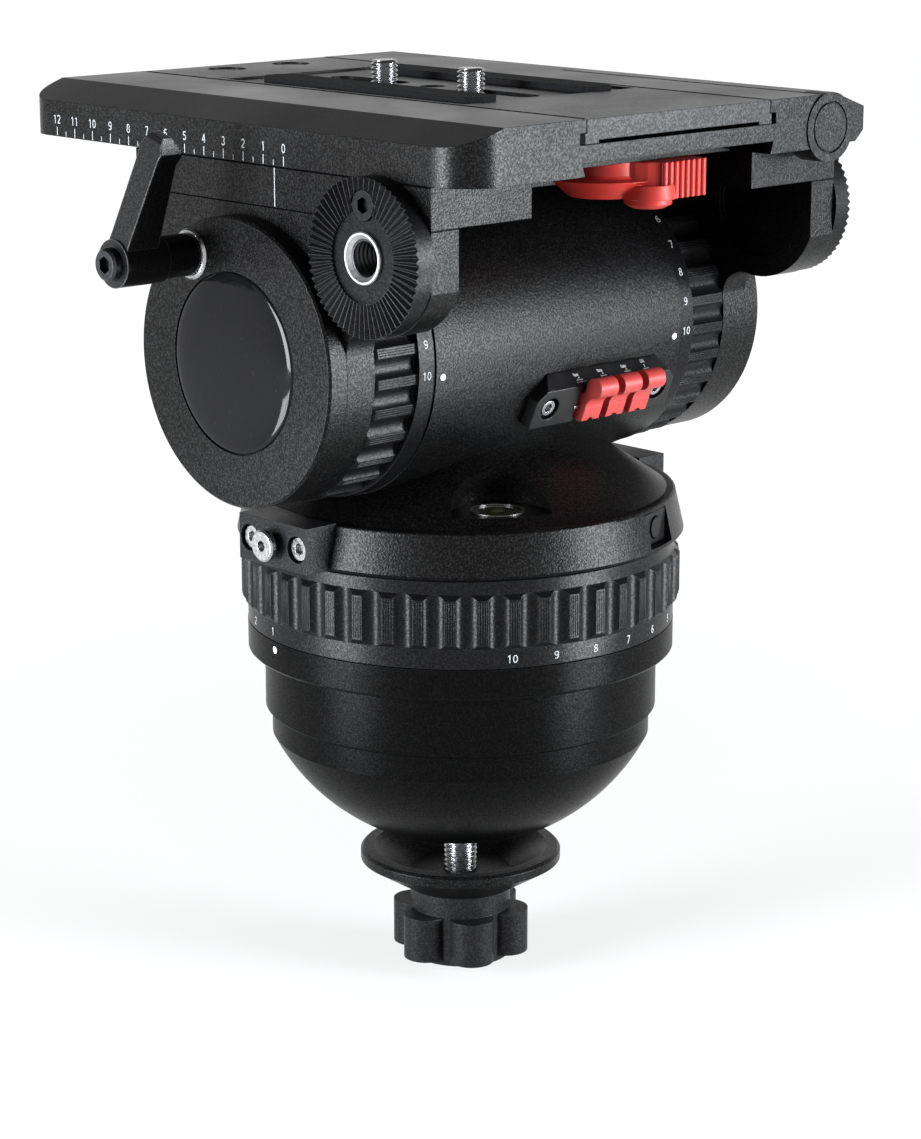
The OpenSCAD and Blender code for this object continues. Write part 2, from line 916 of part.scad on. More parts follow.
module bracket_screws() {
  color("#bfc1c4")
    bracket_screw_places()
      translate([0, 0, -well_deep])
        difference() {
          cylinder(r1 = bracket_screw_r, r2 = bracket_screw_r - 0.6, h = well_deep - 0.6);
          translate([0, 0, 1])
            cylinder(r = bracket_screw_r / 2, h = 5, $fn = 6);
        }
}

module switch_pin() {
  color("#a8abb0")
    switch_place()
      translate([-window_half - pin_seat, switch_axis_t, switch_axis_n])
        rotate([0, 90, 0])
          cylinder(r = switch_pin_r, h = 2 * (window_half + pin_seat));
}

// One counterbalance switch: a thumb bulge above, a notched tail below, on the pin along X
module switch_rocker(i) {
  tail_n = bracket_face + 2.9;
  bulb = [8, bracket_face + 4];
  waist = [bulb[0] - sqrt(pow(bulb_r + waist_r, 2) - pow(tail_n + waist_r - bulb[1], 2)), tail_n + waist_r];
  touch = waist + (bulb - waist) * waist_r / (bulb_r + waist_r);
  color("#c8453f")
    switch_place()
      translate([(i - (switch_count - 1) / 2) * switch_pitch, 0, 0])
        difference() {
          translate([-switch_w / 2, 0, 0])
            rotate([90, 0, 90])
              linear_extrude(switch_w)
                difference() {
                  union() {
                    translate(bulb)
                      circle(r = bulb_r);
                    polygon([
                      [bulb[0] + 1.6, bracket_face + 0.9], [4.2, bracket_face + 0.5],
                      [3.6, switch_axis_n - 1.4], [-3.4, switch_axis_n - 2.2], [-5.9, switch_axis_n + 0.6],
                      [-tail_end, bracket_face + 1.7], [-tail_end + 0.7, tail_n], [waist[0], tail_n],
                      touch, bulb
                    ]);
                  }
                  translate(waist)
                    circle(r = waist_r + waist_sink);
                  translate([switch_axis_t, switch_axis_n])
                    circle(r = switch_pin_r + run);
                }
          // Nail notch in the end of the tail
          translate([0, -tail_end, switch_axis_n])
            cylinder(r = notch_r, h = BIG);
        }
}

module switch_left() { switch_rocker(0); }

module switch_middle() { switch_rocker(1); }

module switch_right() { switch_rocker(switch_count - 1); }

// Bearings of the tilt shaft, in the drum's spigots
module tilt_bearings() {
  color("#a8abb0")
    both_sides()
      turned_x()
        polygon([
          [tilt_shaft_r + run, bearing_x], [tilt_bearing_r, bearing_x],
          [tilt_bearing_r, bearing_x + tilt_bearing_w],
          [tilt_bearing_r - 3, bearing_x + tilt_bearing_w],
          [tilt_bearing_r - 3, bearing_x + tilt_bearing_w - 0.6],
          [tilt_shaft_r + 3, bearing_x + tilt_bearing_w - 0.6],
          [tilt_shaft_r + 3, bearing_x + tilt_bearing_w],
          [tilt_shaft_r + run, bearing_x + tilt_bearing_w]
        ]);
}

module spring_cartridges() {
  pitch = (drum_space - 8) / 3;
  color("#53565a")
    for (i = [0 : 2])
      difference() {
        rod_x(drum_bore_r, -drum_space + 2 + i * pitch, -drum_space + i * pitch + pitch);
        rod_x(tilt_shaft_r + 3, -BIG, BIG);
      }
}

// Tilt drag ring, drawn for the right side
module tilt_ring() {
  difference() {
    turned_x()
      polygon([
        [spigot_r + run, ring_x], [ring_band_r, ring_x], [ring_band_r, ring_rib_x],
        [ring_rib_r, ring_rib_x], [ring_rib_r, ring_end_x - 0.7],
        [ring_rib_r - 0.7, ring_end_x], [spigot_r + run, ring_end_x]
      ]);
    translate([ring_rib_x, 0, z_tilt])
      rotate([0, 90, 0])
        rotate(ring_turn)
          flutes(ring_flutes, ring_rib_r, ring_rib_w + 1);
  }
}

module counterbalance_ring() {
  color("#1f2022")
    mirror([1, 0, 0])
      tilt_ring();
}

module tilt_drag_ring() {
  color("#1f2022")
    tilt_ring();
}

module tilt_shaft() {
  color("#b9bcc0")
    rod_x(tilt_shaft_r, -flank_x, flank_x);
}

module tilt_damper() {
  pitch = (drum_space - 8) / 5;
  color("#6f7378")
    difference() {
      union() {
        rod_x(tilt_shaft_r + 5, 4, drum_space - 2);
        for (i = [0 : 4])
          rod_x(drum_bore_r - 2, 6 + i * pitch, 6 + i * pitch + pitch * 0.6);
      }
      rod_x(tilt_shaft_r, -BIG, BIG);
    }
}

// Outline of a cheek in the YZ plane: round the cap, up to the platform, back to the rosette boss
module cheek_outline() {
  fillet = 9;
  span = sqrt(rosette_back * rosette_back + rosette_up * rosette_up);
  // Place of the hollow fillet that touches the cap's and the boss's outlines from below
  near = cap_r + fillet;
  far = boss_round + fillet;
  along = (span * span + near * near - far * far) / (2 * span);
  off = sqrt(max(near * near - along * along, 0));
  dir = [-rosette_back / span, rosette_up / span];
  side = [-dir[1], dir[0]];
  hollow = [along * dir[0] + off * side[0], along * dir[1] + off * side[1]];
  intersection() {
    translate([-platform_rear, 0])
      square([platform_rear + platform_front, z_plat]);
    difference() {
      union() {
        translate([0, z_tilt])
          circle(r = cap_r);
        translate([rosette_y, rosette_z])
          circle(r = boss_round);
        translate([rosette_y, rosette_z])
          square([rosette_back + platform_front, z_plat - rosette_z]);
        translate([0, z_tilt])
          polygon([
            [0, 0], hollow, [rosette_y, rosette_up], [rosette_y, cheek_rise],
            [platform_front, cheek_rise], [platform_front, cheek_rise - 12],
            [cap_r * cos(25), cap_r * sin(25)]
          ]);
      }
      translate([hollow[0], z_tilt + hollow[1]])
        circle(r = fillet);
    }
  }
}

// Left cheek, with a milled recess inside the rosette boss
module cheek_solid() {
  difference() {
    plate_x(-flank_x, -cheek_x)
      cheek_outline();
    rod_x(tilt_shaft_r, -BIG, BIG);
    rod_x(insert_r, -flank_x - 1, -flank_x + insert_deep, rosette_y, rosette_z);
    rod_x(boss_round - 7, -cheek_x - 2.2, -cheek_x + 1, rosette_y, rosette_z);
  }
}

module left_cheek() {
  color("#28292b")
    difference() {
      cheek_solid();
      rod_x(lock_bush_r, -flank_x - 1, -flank_x + 6, lock_y, lock_z);
    }
}

module right_cheek() {
  color("#28292b")
    mirror([1, 0, 0])
      cheek_solid();
}

module cap_solid() {
  difference() {
    turned_x()
      polygon([
        [0, -cap_x + 1.2], [badge_r + 0.4, -cap_x + 1.2], [badge_r + 0.4, -cap_x],
        [cap_r - 0.8, -cap_x], [cap_r, -cap_x + 0.8], [cap_r, -flank_x], [0, -flank_x]
      ]);
    children();
  }
}

module left_cap() {
  color("#232427")
    cap_solid()
      rod_x(lock_bush_r, -cap_x - 1, -flank_x + 1, lock_y, lock_z);
}

module right_cap() {
  color("#232427")
    mirror([1, 0, 0])
      cap_solid();
}

// Glossy domed badge: a flat disc with a crowned face
module badge_solid() {
  crown_r = (badge_r * badge_r + badge_crown * badge_crown) / (2 * badge_crown);
  seat = cap_x - 1.2;
  turned_x()
    intersection() {
      translate([0, -seat - badge_crown - 0.4 + crown_r])
        circle(r = crown_r, $fn = 360);
      translate([0, -seat - badge_crown - 2])
        square([badge_r, badge_crown + 2]);
    }
}

module left_badge() {
  color("#050506")
    badge_solid();
}

module right_badge() {
  color("#050506")
    mirror([1, 0, 0])
      badge_solid();
}

// Left rosette: a disc with radial teeth round a smooth hub
module rosette_solid() {
  difference() {
    rod_x(rosette_r, -rosette_face_x, -flank_x, rosette_y, rosette_z);
    // Hub face, lower than the teeth
    rod_x(tooth_in_r, -rosette_face_x - 1, -rosette_face_x + hub_step, rosette_y, rosette_z);
    // V grooves that grow deeper and wider outwards, so the teeth stay sharp
    for (i = [0 : rosette_teeth - 1])
      translate([-rosette_face_x, rosette_y, rosette_z])
        rotate([i * 360 / rosette_teeth, 0, 0])
          rotate([0, tooth_fall, 0])
            translate([0, 0, tooth_in_r - 0.6])
              linear_extrude(rosette_r - tooth_in_r + 1.6)
                polygon([[-tooth_h, -tooth_h], [-tooth_h, tooth_h], [0, 0]]);
    rod_x(insert_r, -BIG, 0, rosette_y, rosette_z);
    rod_x(rosette_screw_r + gap, -rosette_face_x - 1, -flank_x - rosette_seat_t,
      rosette_y, rosette_z + rosette_screw_up);
    rod_x(rosette_shank_r, -BIG, 0, rosette_y, rosette_z + rosette_screw_up);
    // Clearance behind the rim, where the sliding plate's flank passes
    translate([-flank_x - gap, rosette_y - rosette_r - 1, z_slab - gap])
      cube([2 * gap, 2 * rosette_r + 2, rosette_r]);
  }
}

module left_rosette() {
  color("#1a1b1c")
    rosette_solid();
}

module right_rosette() {
  color("#1a1b1c")
    mirror([1, 0, 0])
      rosette_solid();
}

module rosette_inserts() {
  stand = rosette_face_x - hub_step + insert_stand;
  color("#c6c7c9")
    both_sides()
      difference() {
        turned_x(rosette_y, rosette_z)
          polygon([
            [0, -stand], [insert_r - insert_edge, -stand], [insert_r, -stand + insert_edge],
            [insert_r, -flank_x + insert_deep], [0, -flank_x + insert_deep]
          ]);
        turned_x(rosette_y, rosette_z)
          polygon([
            [0, -stand - 1], [insert_thread_r + insert_mouth, -stand - 1],
            [insert_thread_r + insert_mouth, -stand], [insert_thread_r, -stand + insert_mouth],
            [0, -stand + insert_mouth]
          ]);
        rod_x(insert_thread_r, -stand - 1, -flank_x + insert_deep - 1, rosette_y, rosette_z);
      }
}

module rosette_screws() {
  color("#1b1c1d")
    both_sides()
      translate([-rosette_face_x + 0.6, rosette_y, rosette_z + rosette_screw_up])
        rotate([0, -90, 0])
          socket_screw(rosette_screw_r, rosette_t - rosette_seat_t - 0.6, rosette_shank_r,
            rosette_seat_t + rosette_shank_len);
}

// Tilt lock: bushing in the left cap, lever on a shaft through it
module tilt_lock_bushing() {
  color("#c6c7c9")
    difference() {
      rod_x(lock_bush_r, -cap_x - 1.2, -flank_x + 6, lock_y, lock_z);
      rod_x(lock_shaft_r + run, -cap_x - 2, -flank_x + 7, lock_y, lock_z);
    }
}

module lock_lever_place() {
  translate([0, lock_y, lock_z])
    rotate([lock_lean, 0, 0])
      children();
}

// Lever: hub and neck on the shaft, and a tapered arm cut from its side outline and its width
module tilt_lock_lever() {
  hub_in = -cap_x - 1.2 - gap;
  tip = lock_arm - 7;
  color("#151617")
    difference() {
      union() {
        rod_x(lock_shaft_r, hub_in - 2, -flank_x + 5.5, lock_y, lock_z);
        rod_x(lock_neck_r, hub_in - lock_reach * 0.42, hub_in, lock_y, lock_z);
        rod_x(lock_hub_r, lock_x, hub_in - lock_reach * 0.4, lock_y, lock_z);
        lock_lever_place()
          intersection() {
            plate_y(-lock_hub_r, lock_hub_r)
              translate([lock_x, 0])
                polygon([
                  [0, 0], [0.6, 5], [8.6, lock_arm - 2], [9.6, lock_arm], [13, lock_arm],
                  [16.6, tip + 3], [16.6, tip], [15.2, tip - 1.6], [13.4, 5], [13.4, 0]
                ]);
            plate_x(lock_x - 1, lock_x + 24)
              polygon([
                [-5.2, 0], [-4.8, 9], [-5, tip], [-5.6, tip + 2], [-3, lock_arm],
                [3, lock_arm], [5.6, tip + 2], [5, tip], [4.8, 9], [5.2, 0]
              ]);
          }
      }
      rod_x(lock_cover_r + run, lock_x - 1, lock_x + 3, lock_y, lock_z);
    }
}

// Screw that holds the lever, with a round head that stands out of the hub
module tilt_lock_screw() {
  color("#2c2d2f")
    translate([lock_x - lock_cover_h, lock_y, lock_z])
      rotate([0, -90, 0])
        difference() {
          union() {
            translate([0, 0, -lock_cover_h - 2.8])
              cylinder(r = lock_cover_r, h = lock_cover_h + 2);
            translate([0, 0, -0.8 - EPS])
              cylinder(r1 = lock_cover_r, r2 = lock_cover_r - 0.8, h = 0.8 + EPS);
          }
          translate([0, 0, -3])
            cylinder(r = 2.9, h = 4, $fn = 6);
        }
}

// Platform: two rear legs, the dovetail rail on top, and the rail's tongue between the legs
module rail_outline() {
  rail_top_half = rail_half + dovetail_undercut * rail_h / dovetail_depth;
  translate([0, z_plat_top])
    polygon([
      [-rail_half, 0], [rail_half, 0], [rail_top_half, rail_h], [-rail_top_half, rail_h]
    ]);
}

module tilt_platform() {
  color("#27282b")
    difference() {
      union() {
        difference() {
          translate([-flank_x, -platform_rear, z_plat])
            cube([2 * flank_x, platform_rear + platform_front, platform_t]);
          translate([-gap_half, -platform_rear - 1, z_plat - 1])
            cube([2 * gap_half, platform_rear - gap_front + 1, platform_t + 2]);
        }
        plate_y(-rail_rear, platform_front)
          rail_outline();
      }
      translate([0, -slide_lock_back, z_plat - 1])
        cylinder(r = lock_bolt_r, h = BIG);
      both_sides()
        rod_x(rosette_shank_r, -flank_x - 1, -flank_x + rosette_shank_len + 1,
          rosette_y, rosette_z + rosette_screw_up);
      platform_screw_places() {
        translate([0, 0, -platform_screw_deep])
          cylinder(r = platform_screw_r + gap, h = 20);
        translate([0, 0, -BIG / 2])
          cylinder(r = platform_shank_r, h = BIG);
      }
    }
}

module platform_screw_places() {
  for (y = platform_screw_ys)
    both_sides()
      translate([platform_screw_x, y, z_plat_top])
        children([0 : $children - 1]);
}

module platform_screws() {
  color("#1b1c1d")
    platform_screw_places()
      translate([0, 0, platform_screw_h - platform_screw_deep])
        socket_screw(platform_screw_r, platform_screw_h, platform_shank_r,
          platform_t - platform_screw_deep);
}

module slide_lock_bolt() {
  color("#8f9296")
    translate([0, -slide_lock_back, lock_seat_z - gap - lock_bolt_head_h]) {
      difference() {
        cylinder(r = lock_bolt_head_r, h = lock_bolt_head_h);
        translate([0, 0, -1])
          cylinder(r = lock_bolt_head_r / 2, h = 3, $fn = 6);
      }
      translate([0, 0, lock_bolt_head_h - EPS])
        cylinder(r = lock_bolt_r, h = z_plat_top + rail_h - lock_seat_z + gap);
    }
}

// Slide lock lever: a neck and skirt under the tongue, and a ribbed thumb grip to the rear
module slide_lock_lever() {
  grip_w = grip_right - grip_left;
  rib_pitch = 2.6;
  color("#c23a35")
    translate([0, -slide_lock_back, 0])
      difference() {
        union() {
          rotate_extrude()
            polygon([
              [lock_bolt_r + run, z_lock], [slide_neck_r - 2, z_lock],
              [slide_skirt_r, skirt_z], [slide_neck_r + 0.6, skirt_z + 0.6],
              [slide_neck_r, skirt_z + 1.6], [slide_neck_r, z_lock_top],
              [lock_bolt_r + run, z_lock_top]
            ]);
          difference() {
            union() {
              translate([grip_left, -grip_far, z_lock])
                cube([grip_w, grip_far - grip_near, slide_lock_h]);
              for (x = [grip_left + 1.2 : rib_pitch : grip_right - 0.9])
                translate([x, -grip_far, z_lock])
                  cylinder(r = grip_rib_r, h = slide_lock_h, $fn = 24);
              translate([safety_x, -safety_back, z_lock])
                cylinder(r1 = safety_r + 1.4, r2 = safety_r + 0.7, h = safety_well + 1.2);
              // Web that leads from the neck into the grip
              translate([0, 0, z_lock])
                linear_extrude(slide_lock_h)
                  polygon([
                    [grip_left, -grip_near], [grip_left, -grip_far + 1], [1, -18.5], [-1.5, -15.5],
                    [-3, -13], [-3, -grip_near]
                  ]);
            }
            translate([0, 0, z_lock - 1])
              cylinder(r = slide_neck_r - 3, h = BIG);
          }
        }
        translate([0, 0, z_lock - 1])
          cylinder(r = lock_bolt_head_r + gap, h = lock_seat_z - z_lock + 1);
        translate([safety_x, -safety_back, z_lock - 1])
          cylinder(r = safety_r + gap, h = safety_well + 1);
      }
}

module slide_lock_button() {
  button_top = safety_well - safety_travel - gap;
  color("#b8342f")
    translate([safety_x, -slide_lock_back - safety_back, z_lock])
      rotate_extrude()
        polygon([
          [0, -safety_drop], [safety_r - 2.4, -safety_drop + 0.3], [safety_r, -safety_drop + 1.6],
          [safety_r, button_top], [0, button_top]
        ]);
}

// Sliding plate: sloped shoulders, the camera plate's channel above, the dovetail groove below
module slab_section() {
  half_top = flank_x - shoulder_w;
  difference() {
    polygon([
      [-flank_x, z_slab], [flank_x, z_slab], [flank_x, z_slab + flank_h],
      [half_top, z_slab_top], [-half_top, z_slab_top], [-flank_x, z_slab + flank_h]
    ]);
    translate([-channel_half, z_channel])
      square([2 * channel_half, channel_depth + 1]);
    translate([-channel_half - lip_over, z_channel])
      square([2 * (channel_half + lip_over), z_lip - z_channel]);
    polygon([
      [-dovetail_half, z_slab - 1], [dovetail_half, z_slab - 1], [dovetail_half, z_slab],
      [dovetail_half + dovetail_undercut, z_slab + dovetail_depth],
      [-dovetail_half - dovetail_undercut, z_slab + dovetail_depth], [-dovetail_half, z_slab]
    ]);
  }
}

// Plan of the sliding plate: round corners at the front and at the rear left
module slab_plan() {
  difference() {
    translate([-flank_x, -slab_rear])
      square([2 * flank_x, slab_rear + slab_front]);
    corner_cutter(-flank_x, -slab_rear, rear_corner_r, 0);
    corner_cutter(flank_x, slab_front, front_corner_r, 180);
    corner_cutter(-flank_x, slab_front, front_corner_r, 270);
  }
}

module corner_cutter(x, y, r, turn) {
  translate([x, y])
    rotate(turn)
      difference() {
        translate([-1, -1])
          square([r + 1, r + 1]);
        translate([r, r])
          circle(r = r);
      }
}

module sliding_plate() {
  color("#25272a")
    difference() {
      intersection() {
        plate_y(-slab_rear, slab_front)
          slab_section();
        translate([0, 0, z_slab - 1])
          linear_extrude(slab_t + 2)
            slab_plan();
      }
      // Room for the clamp lever and its swing
      plate_y(-slab_rear - 1, lever_front + gap)
        translate([clamp_x, z_clamp]) {
          circle(r = clamp_bore_r);
          translate([0, -clamp_up - 1])
            square([BIG, slab_t + 2]);
        }
      // Pocket of the clamp jaw, and the holes of its push rods
      translate([channel_half, jaw_rear - gap, z_channel])
        cube([jaw_x + jaw_w + jaw_travel + gap - channel_half,
          jaw_front - jaw_rear + 2 * gap, z_lip - z_channel]);
      for (y = [jaw_rear + 8, jaw_front - 8])
        rod_x(jaw_rod_r + run, jaw_x + jaw_w - 1, clamp_x, y, (z_channel + z_lip) / 2);
    }
}

module clamp_jaw() {
  color("#3a3c40")
    union() {
      translate([jaw_x, jaw_rear, z_channel + slide_gap])
        cube([jaw_w, jaw_front - jaw_rear, z_lip - z_channel - 2 * slide_gap]);
      for (y = [jaw_rear + 8, jaw_front - 8])
        rod_x(jaw_rod_r, jaw_x + jaw_w - 1, jaw_rod_end, y, (z_channel + z_lip) / 2);
    }
}

// Clamp lever: a round barrel at the rear, then a wing that fills the plate's right flank
module clamp_lever() {
  reach = clamp_in;
  color("#25272a")
    difference() {
      union() {
        plate_y(-slab_rear, barrel_front)
          translate([clamp_x, z_clamp])
            circle(r = barrel_r);
        plate_y(wing_rear, lever_front)
          translate([clamp_x, z_clamp]) {
            circle(r = core_r);
            polygon([
              [-wing_back, wing_top], [reach - shoulder_w, wing_top], [reach, flank_h - clamp_up],
              [reach, -2.5], [reach - 4, -wing_low], [0, -wing_low], [0, 0]
            ]);
          }
      }
      translate([clamp_x, -slab_rear + 0.8, z_clamp])
        rotate([90, 0, 0])
          difference() {
            cylinder(r = barrel_r - 3, h = 5);
            translate([0, 0, -1])
              cylinder(r = barrel_r - 3.6, h = 7);
          }
    }
}

// Camera plate: side runners under the lips, a shallow recess with pads, two slots for screws
module plate_slot(y0, y1, r, h) {
  for (y = [y0, y1])
    translate([0, y, 0])
      cylinder(r = r, h = h);
  translate([-r, y0, 0])
    cube([2 * r, y1 - y0, h]);
}

module camera_plate() {
  color("#2d2f33")
    difference() {
      plate_y(-slab_rear, plate_front)
        union() {
          translate([-plate_half, z_plate])
            square([2 * plate_half, z_slab_top - z_plate]);
          for (s = [-1, 1])
            translate([s > 0 ? runner_half - runner_w : -runner_half, z_runner])
              square([runner_w, z_runner_top - z_runner]);
        }
      // Lead-in corners at the rear
      for (s = [-1, 1])
        translate([s * runner_half, -slab_rear, z_channel - 1])
          rotate([0, 0, 45])
            translate([-corner_cut, -corner_cut, 0])
              cube([2 * corner_cut, 2 * corner_cut, BIG]);
      translate([-plate_half + 3, -recess_rear, z_pad])
        cube([2 * plate_half - 6, recess_front + recess_rear, 5]);
      for (slot = [front_slot, rear_slot]) {
        translate([0, 0, z_plate - 1])
          plate_slot(slot[0], slot[1], slot_r, BIG);
        translate([0, 0, z_plate - 1])
          plate_slot(slot[0], slot[1], seat_r, z_seat - z_plate + 1);
      }
      // Middle hole, and round recesses near the front
      translate([0, (front_slot[0] + rear_slot[1]) / 2, z_plate - 1])
        cylinder(r = middle_hole_r, h = BIG);
      for (x = [-15, 15])
        translate([x, plate_front - 13, z_slab_top - 0.6])
          cylinder(r = 7, h = 5);
      translate([-plate_half + 4, recess_front + 4, z_slab_top - 0.8])
        cube([4.5, 1.2, 5]);
    }
}

module grip_pads() {
  pad_rear = -recess_rear + 1.5;
  pad_front = recess_front - 10;
  nose = 4;
  color("#17181a")
    for (s = [-1, 1])
      translate([s * pad_x, 0, z_pad])
        linear_extrude(pad_t)
          polygon([
            [-pad_w / 2, pad_rear + nose], [-pad_w / 2 + nose, pad_rear], [pad_w / 2 - nose, pad_rear],
            [pad_w / 2, pad_rear + nose], [pad_w / 2, pad_front - nose], [pad_w / 2 - nose, pad_front],
            [-pad_w / 2 + nose, pad_front], [-pad_w / 2, pad_front - nose]
          ]);
}

module screw_washer(y) {
  color("#9ea1a5")
    translate([0, y, z_washer])
      difference() {
        cylinder(r = washer_r, h = washer_t);
        translate([0, 0, -1])
          cylinder(r = screw_r + run, h = washer_t + 2);
      }
}

module front_washer() { screw_washer(screw_front_y); }

module rear_washer() { screw_washer(screw_rear_y); }

module camera_screw(y) {
  color("#d2d3d5")
    translate([0, y, 0])
      difference() {
        union() {
          translate([0, 0, z_head])
            cylinder(r = head_r, h = z_washer - slide_gap - z_head);
          translate([0, 0, z_head])
            cylinder(r = screw_r - screw_undercut, h = z_thread - z_head + EPS);
          translate([0, 0, z_thread])
            cylinder(r = screw_r, h = z_slab_top + screw_stand - screw_tip - z_thread);
          translate([0, 0, z_slab_top + screw_stand - screw_tip])
            cylinder(r1 = screw_r, r2 = screw_r - screw_tip, h = screw_tip);
        }
        translate([0, 0, z_head - 1])
          cylinder(r = 3, h = 2.6, $fn = 6);
      }
}

module front_camera_screw() { camera_screw(screw_front_y); }

module rear_camera_screw() { camera_screw(screw_rear_y); }

half_ball();
base_housing();
pan_shaft();
pan_shaft_nut();
tie_down_stud();
tie_down_cup();
tie_down_knob();
pan_drag_ring();
turret_housing();
pan_bearings();
pan_damper();
left_block();
right_block();
block_screws();
pan_lock_pin();
bubble_ring();
bubble_vial();
light_panel();
light_button();
switch_bracket();
bracket_screws();
switch_pin();
switch_left();
switch_middle();
switch_right();
tilt_bearings();
spring_cartridges();
counterbalance_ring();
tilt_drag_ring();
tilt_shaft();
tilt_damper();
left_cheek();
right_cheek();
left_cap();
right_cap();
left_badge();
right_badge();
left_rosette();
right_rosette();
rosette_inserts();
rosette_screws();
tilt_lock_bushing();
tilt_lock_lever();
tilt_lock_screw();
tilt_platform();
platform_screws();
slide_lock_bolt();
slide_lock_lever();
slide_lock_button();
sliding_plate();
camera_plate();
grip_pads();
front_washer();
rear_washer();
front_camera_screw();
rear_camera_screw();
clamp_jaw();
clamp_lever();
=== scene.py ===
# A fluid video head: a levelling half ball, a pan base with its drag ring, a turret with a tilt drum, two
# cheeks that carry the platform, and a sliding camera plate on top. Metres, +Z up, +Y forwards.
import math

import bmesh
import bpy
import numpy as np
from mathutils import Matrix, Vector


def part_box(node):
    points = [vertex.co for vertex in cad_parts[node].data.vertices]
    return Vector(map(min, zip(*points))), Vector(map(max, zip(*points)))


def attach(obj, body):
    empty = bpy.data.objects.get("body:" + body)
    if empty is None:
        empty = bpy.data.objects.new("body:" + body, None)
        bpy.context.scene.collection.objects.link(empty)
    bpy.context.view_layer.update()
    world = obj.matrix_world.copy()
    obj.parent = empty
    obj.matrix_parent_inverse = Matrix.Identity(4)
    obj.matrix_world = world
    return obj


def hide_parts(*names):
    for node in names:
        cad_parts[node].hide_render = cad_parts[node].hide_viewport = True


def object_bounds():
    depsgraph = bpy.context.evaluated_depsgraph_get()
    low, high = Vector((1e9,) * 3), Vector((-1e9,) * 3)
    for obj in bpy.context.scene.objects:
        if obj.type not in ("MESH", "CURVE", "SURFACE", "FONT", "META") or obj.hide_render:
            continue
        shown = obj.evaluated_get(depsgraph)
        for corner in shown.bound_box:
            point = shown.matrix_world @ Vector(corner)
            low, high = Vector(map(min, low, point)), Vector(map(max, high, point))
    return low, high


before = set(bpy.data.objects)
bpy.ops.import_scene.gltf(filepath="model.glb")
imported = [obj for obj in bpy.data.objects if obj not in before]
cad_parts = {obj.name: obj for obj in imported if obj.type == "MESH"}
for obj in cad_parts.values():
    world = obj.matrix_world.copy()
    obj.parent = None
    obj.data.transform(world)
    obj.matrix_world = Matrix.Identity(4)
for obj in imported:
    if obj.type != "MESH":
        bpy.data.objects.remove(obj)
cad_box = [list(corner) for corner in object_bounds()]

# Studio. A long lens looks down from behind the operator's left shoulder; the head stands on a pale floor
# between two soft boxes and two small low lamps, in a pale room with a dark ceiling.
MM = 0.001
scene = bpy.context.scene
scene.view_settings.view_transform = "Standard"
aim = Vector((0, 0, 0.0571))
turn, rise, reach = math.radians(-43.47), math.radians(14.44), 1.0814
back = Vector((math.sin(turn) * math.cos(rise), -math.cos(turn) * math.cos(rise), math.sin(rise)))
lens = bpy.data.cameras.new("camera")
lens.lens, lens.sensor_width = 96.79, 36
lens.clip_start, lens.clip_end = 0.05, 200
camera = bpy.data.objects.new("camera", lens)
camera.location = aim + back * reach
camera.rotation_euler = back.to_track_quat("Z", "Y").to_euler()
scene.collection.objects.link(camera)
scene.camera = camera


def soft_box(name, angle, away, z, size, power):
    """Rectangular lamp beside the pan axis, at an angle off the rear to the right, which faces the axis."""
    lamp = bpy.data.lights.new(name, "AREA")
    lamp.color = (0.94, 0.97, 1.0)
    lamp.shape, lamp.size, lamp.size_y, lamp.energy = "RECTANGLE", size[0], size[1], power
    holder = bpy.data.objects.new(name, lamp)
    place = Vector((math.sin(math.radians(angle)), -math.cos(math.radians(angle)), 0))
    holder.location = place * away + Vector((0, 0, z))
    holder.rotation_euler = place.to_track_quat("Z", "Y").to_euler()
    holder.visible_camera = False
    scene.collection.objects.link(holder)


box_away, box_z, box_size = 1.5, 0.25, (0.60, 0.66)
strip_away, strip_z, strip_size = 0.43, -0.02, (0.16, 0.12)
soft_box("box_right", 30, box_away, box_z, box_size, 42)
soft_box("box_left", -102, box_away, box_z, box_size, 48)
soft_box("strip_right", 21, strip_away, strip_z, strip_size, 1.7)
soft_box("strip_left", -104, strip_away, strip_z, strip_size, 1.5)


def remap(tree, value, low, high, to_low, to_high, shape="LINEAR"):
    """Straight line, or another shape, from low..high to to_low..to_high, held at both ends."""
    line = tree.nodes.new("ShaderNodeMapRange")
    line.interpolation_type = shape
    for socket, number in zip(("From Min", "From Max", "To Min", "To Max"), (low, high, to_low, to_high)):
        line.inputs[socket].default_value = number
    tree.links.new(value, line.inputs["Value"])
    return line.outputs["Result"]


def combine(tree, operation, first, second):
    """One value from two: their product, or the larger one."""
    both = tree.nodes.new("ShaderNodeMath")
    both.operation = operation
    tree.links.new(first, both.inputs[0])
    tree.links.new(second, both.inputs[1])
    return both.outputs[0]


def seen_directly(tree):
    """1 for what the camera, a reflection or a clear body looks at, and 0 for light on the head."""
    path = tree.nodes.new("ShaderNodeLightPath").outputs
    mirrored = combine(tree, "MAXIMUM", path["Is Camera Ray"], path["Is Glossy Ray"])
    return combine(tree, "MAXIMUM", mirrored, path["Is Transmission Ray"])


world = bpy.data.worlds.new("studio")
scene.world = world
world.use_nodes = True
room = world.node_tree
toward = room.nodes.new("ShaderNodeSeparateXYZ")
room.links.new(room.nodes.new("ShaderNodeTexCoord").outputs["Generated"], toward.inputs["Vector"])
wall_top, ceiling_edge, wall_light, ceiling_light = 0.28, 0.58, 1.0, 0.05
fall = remap(room, toward.outputs["Z"], wall_top, ceiling_edge, wall_light, ceiling_light, "SMOOTHSTEP")
room.nodes["Background"].inputs["Color"].default_value = (1, 1, 1, 1)
room.links.new(fall, room.nodes["Background"].inputs["Strength"])

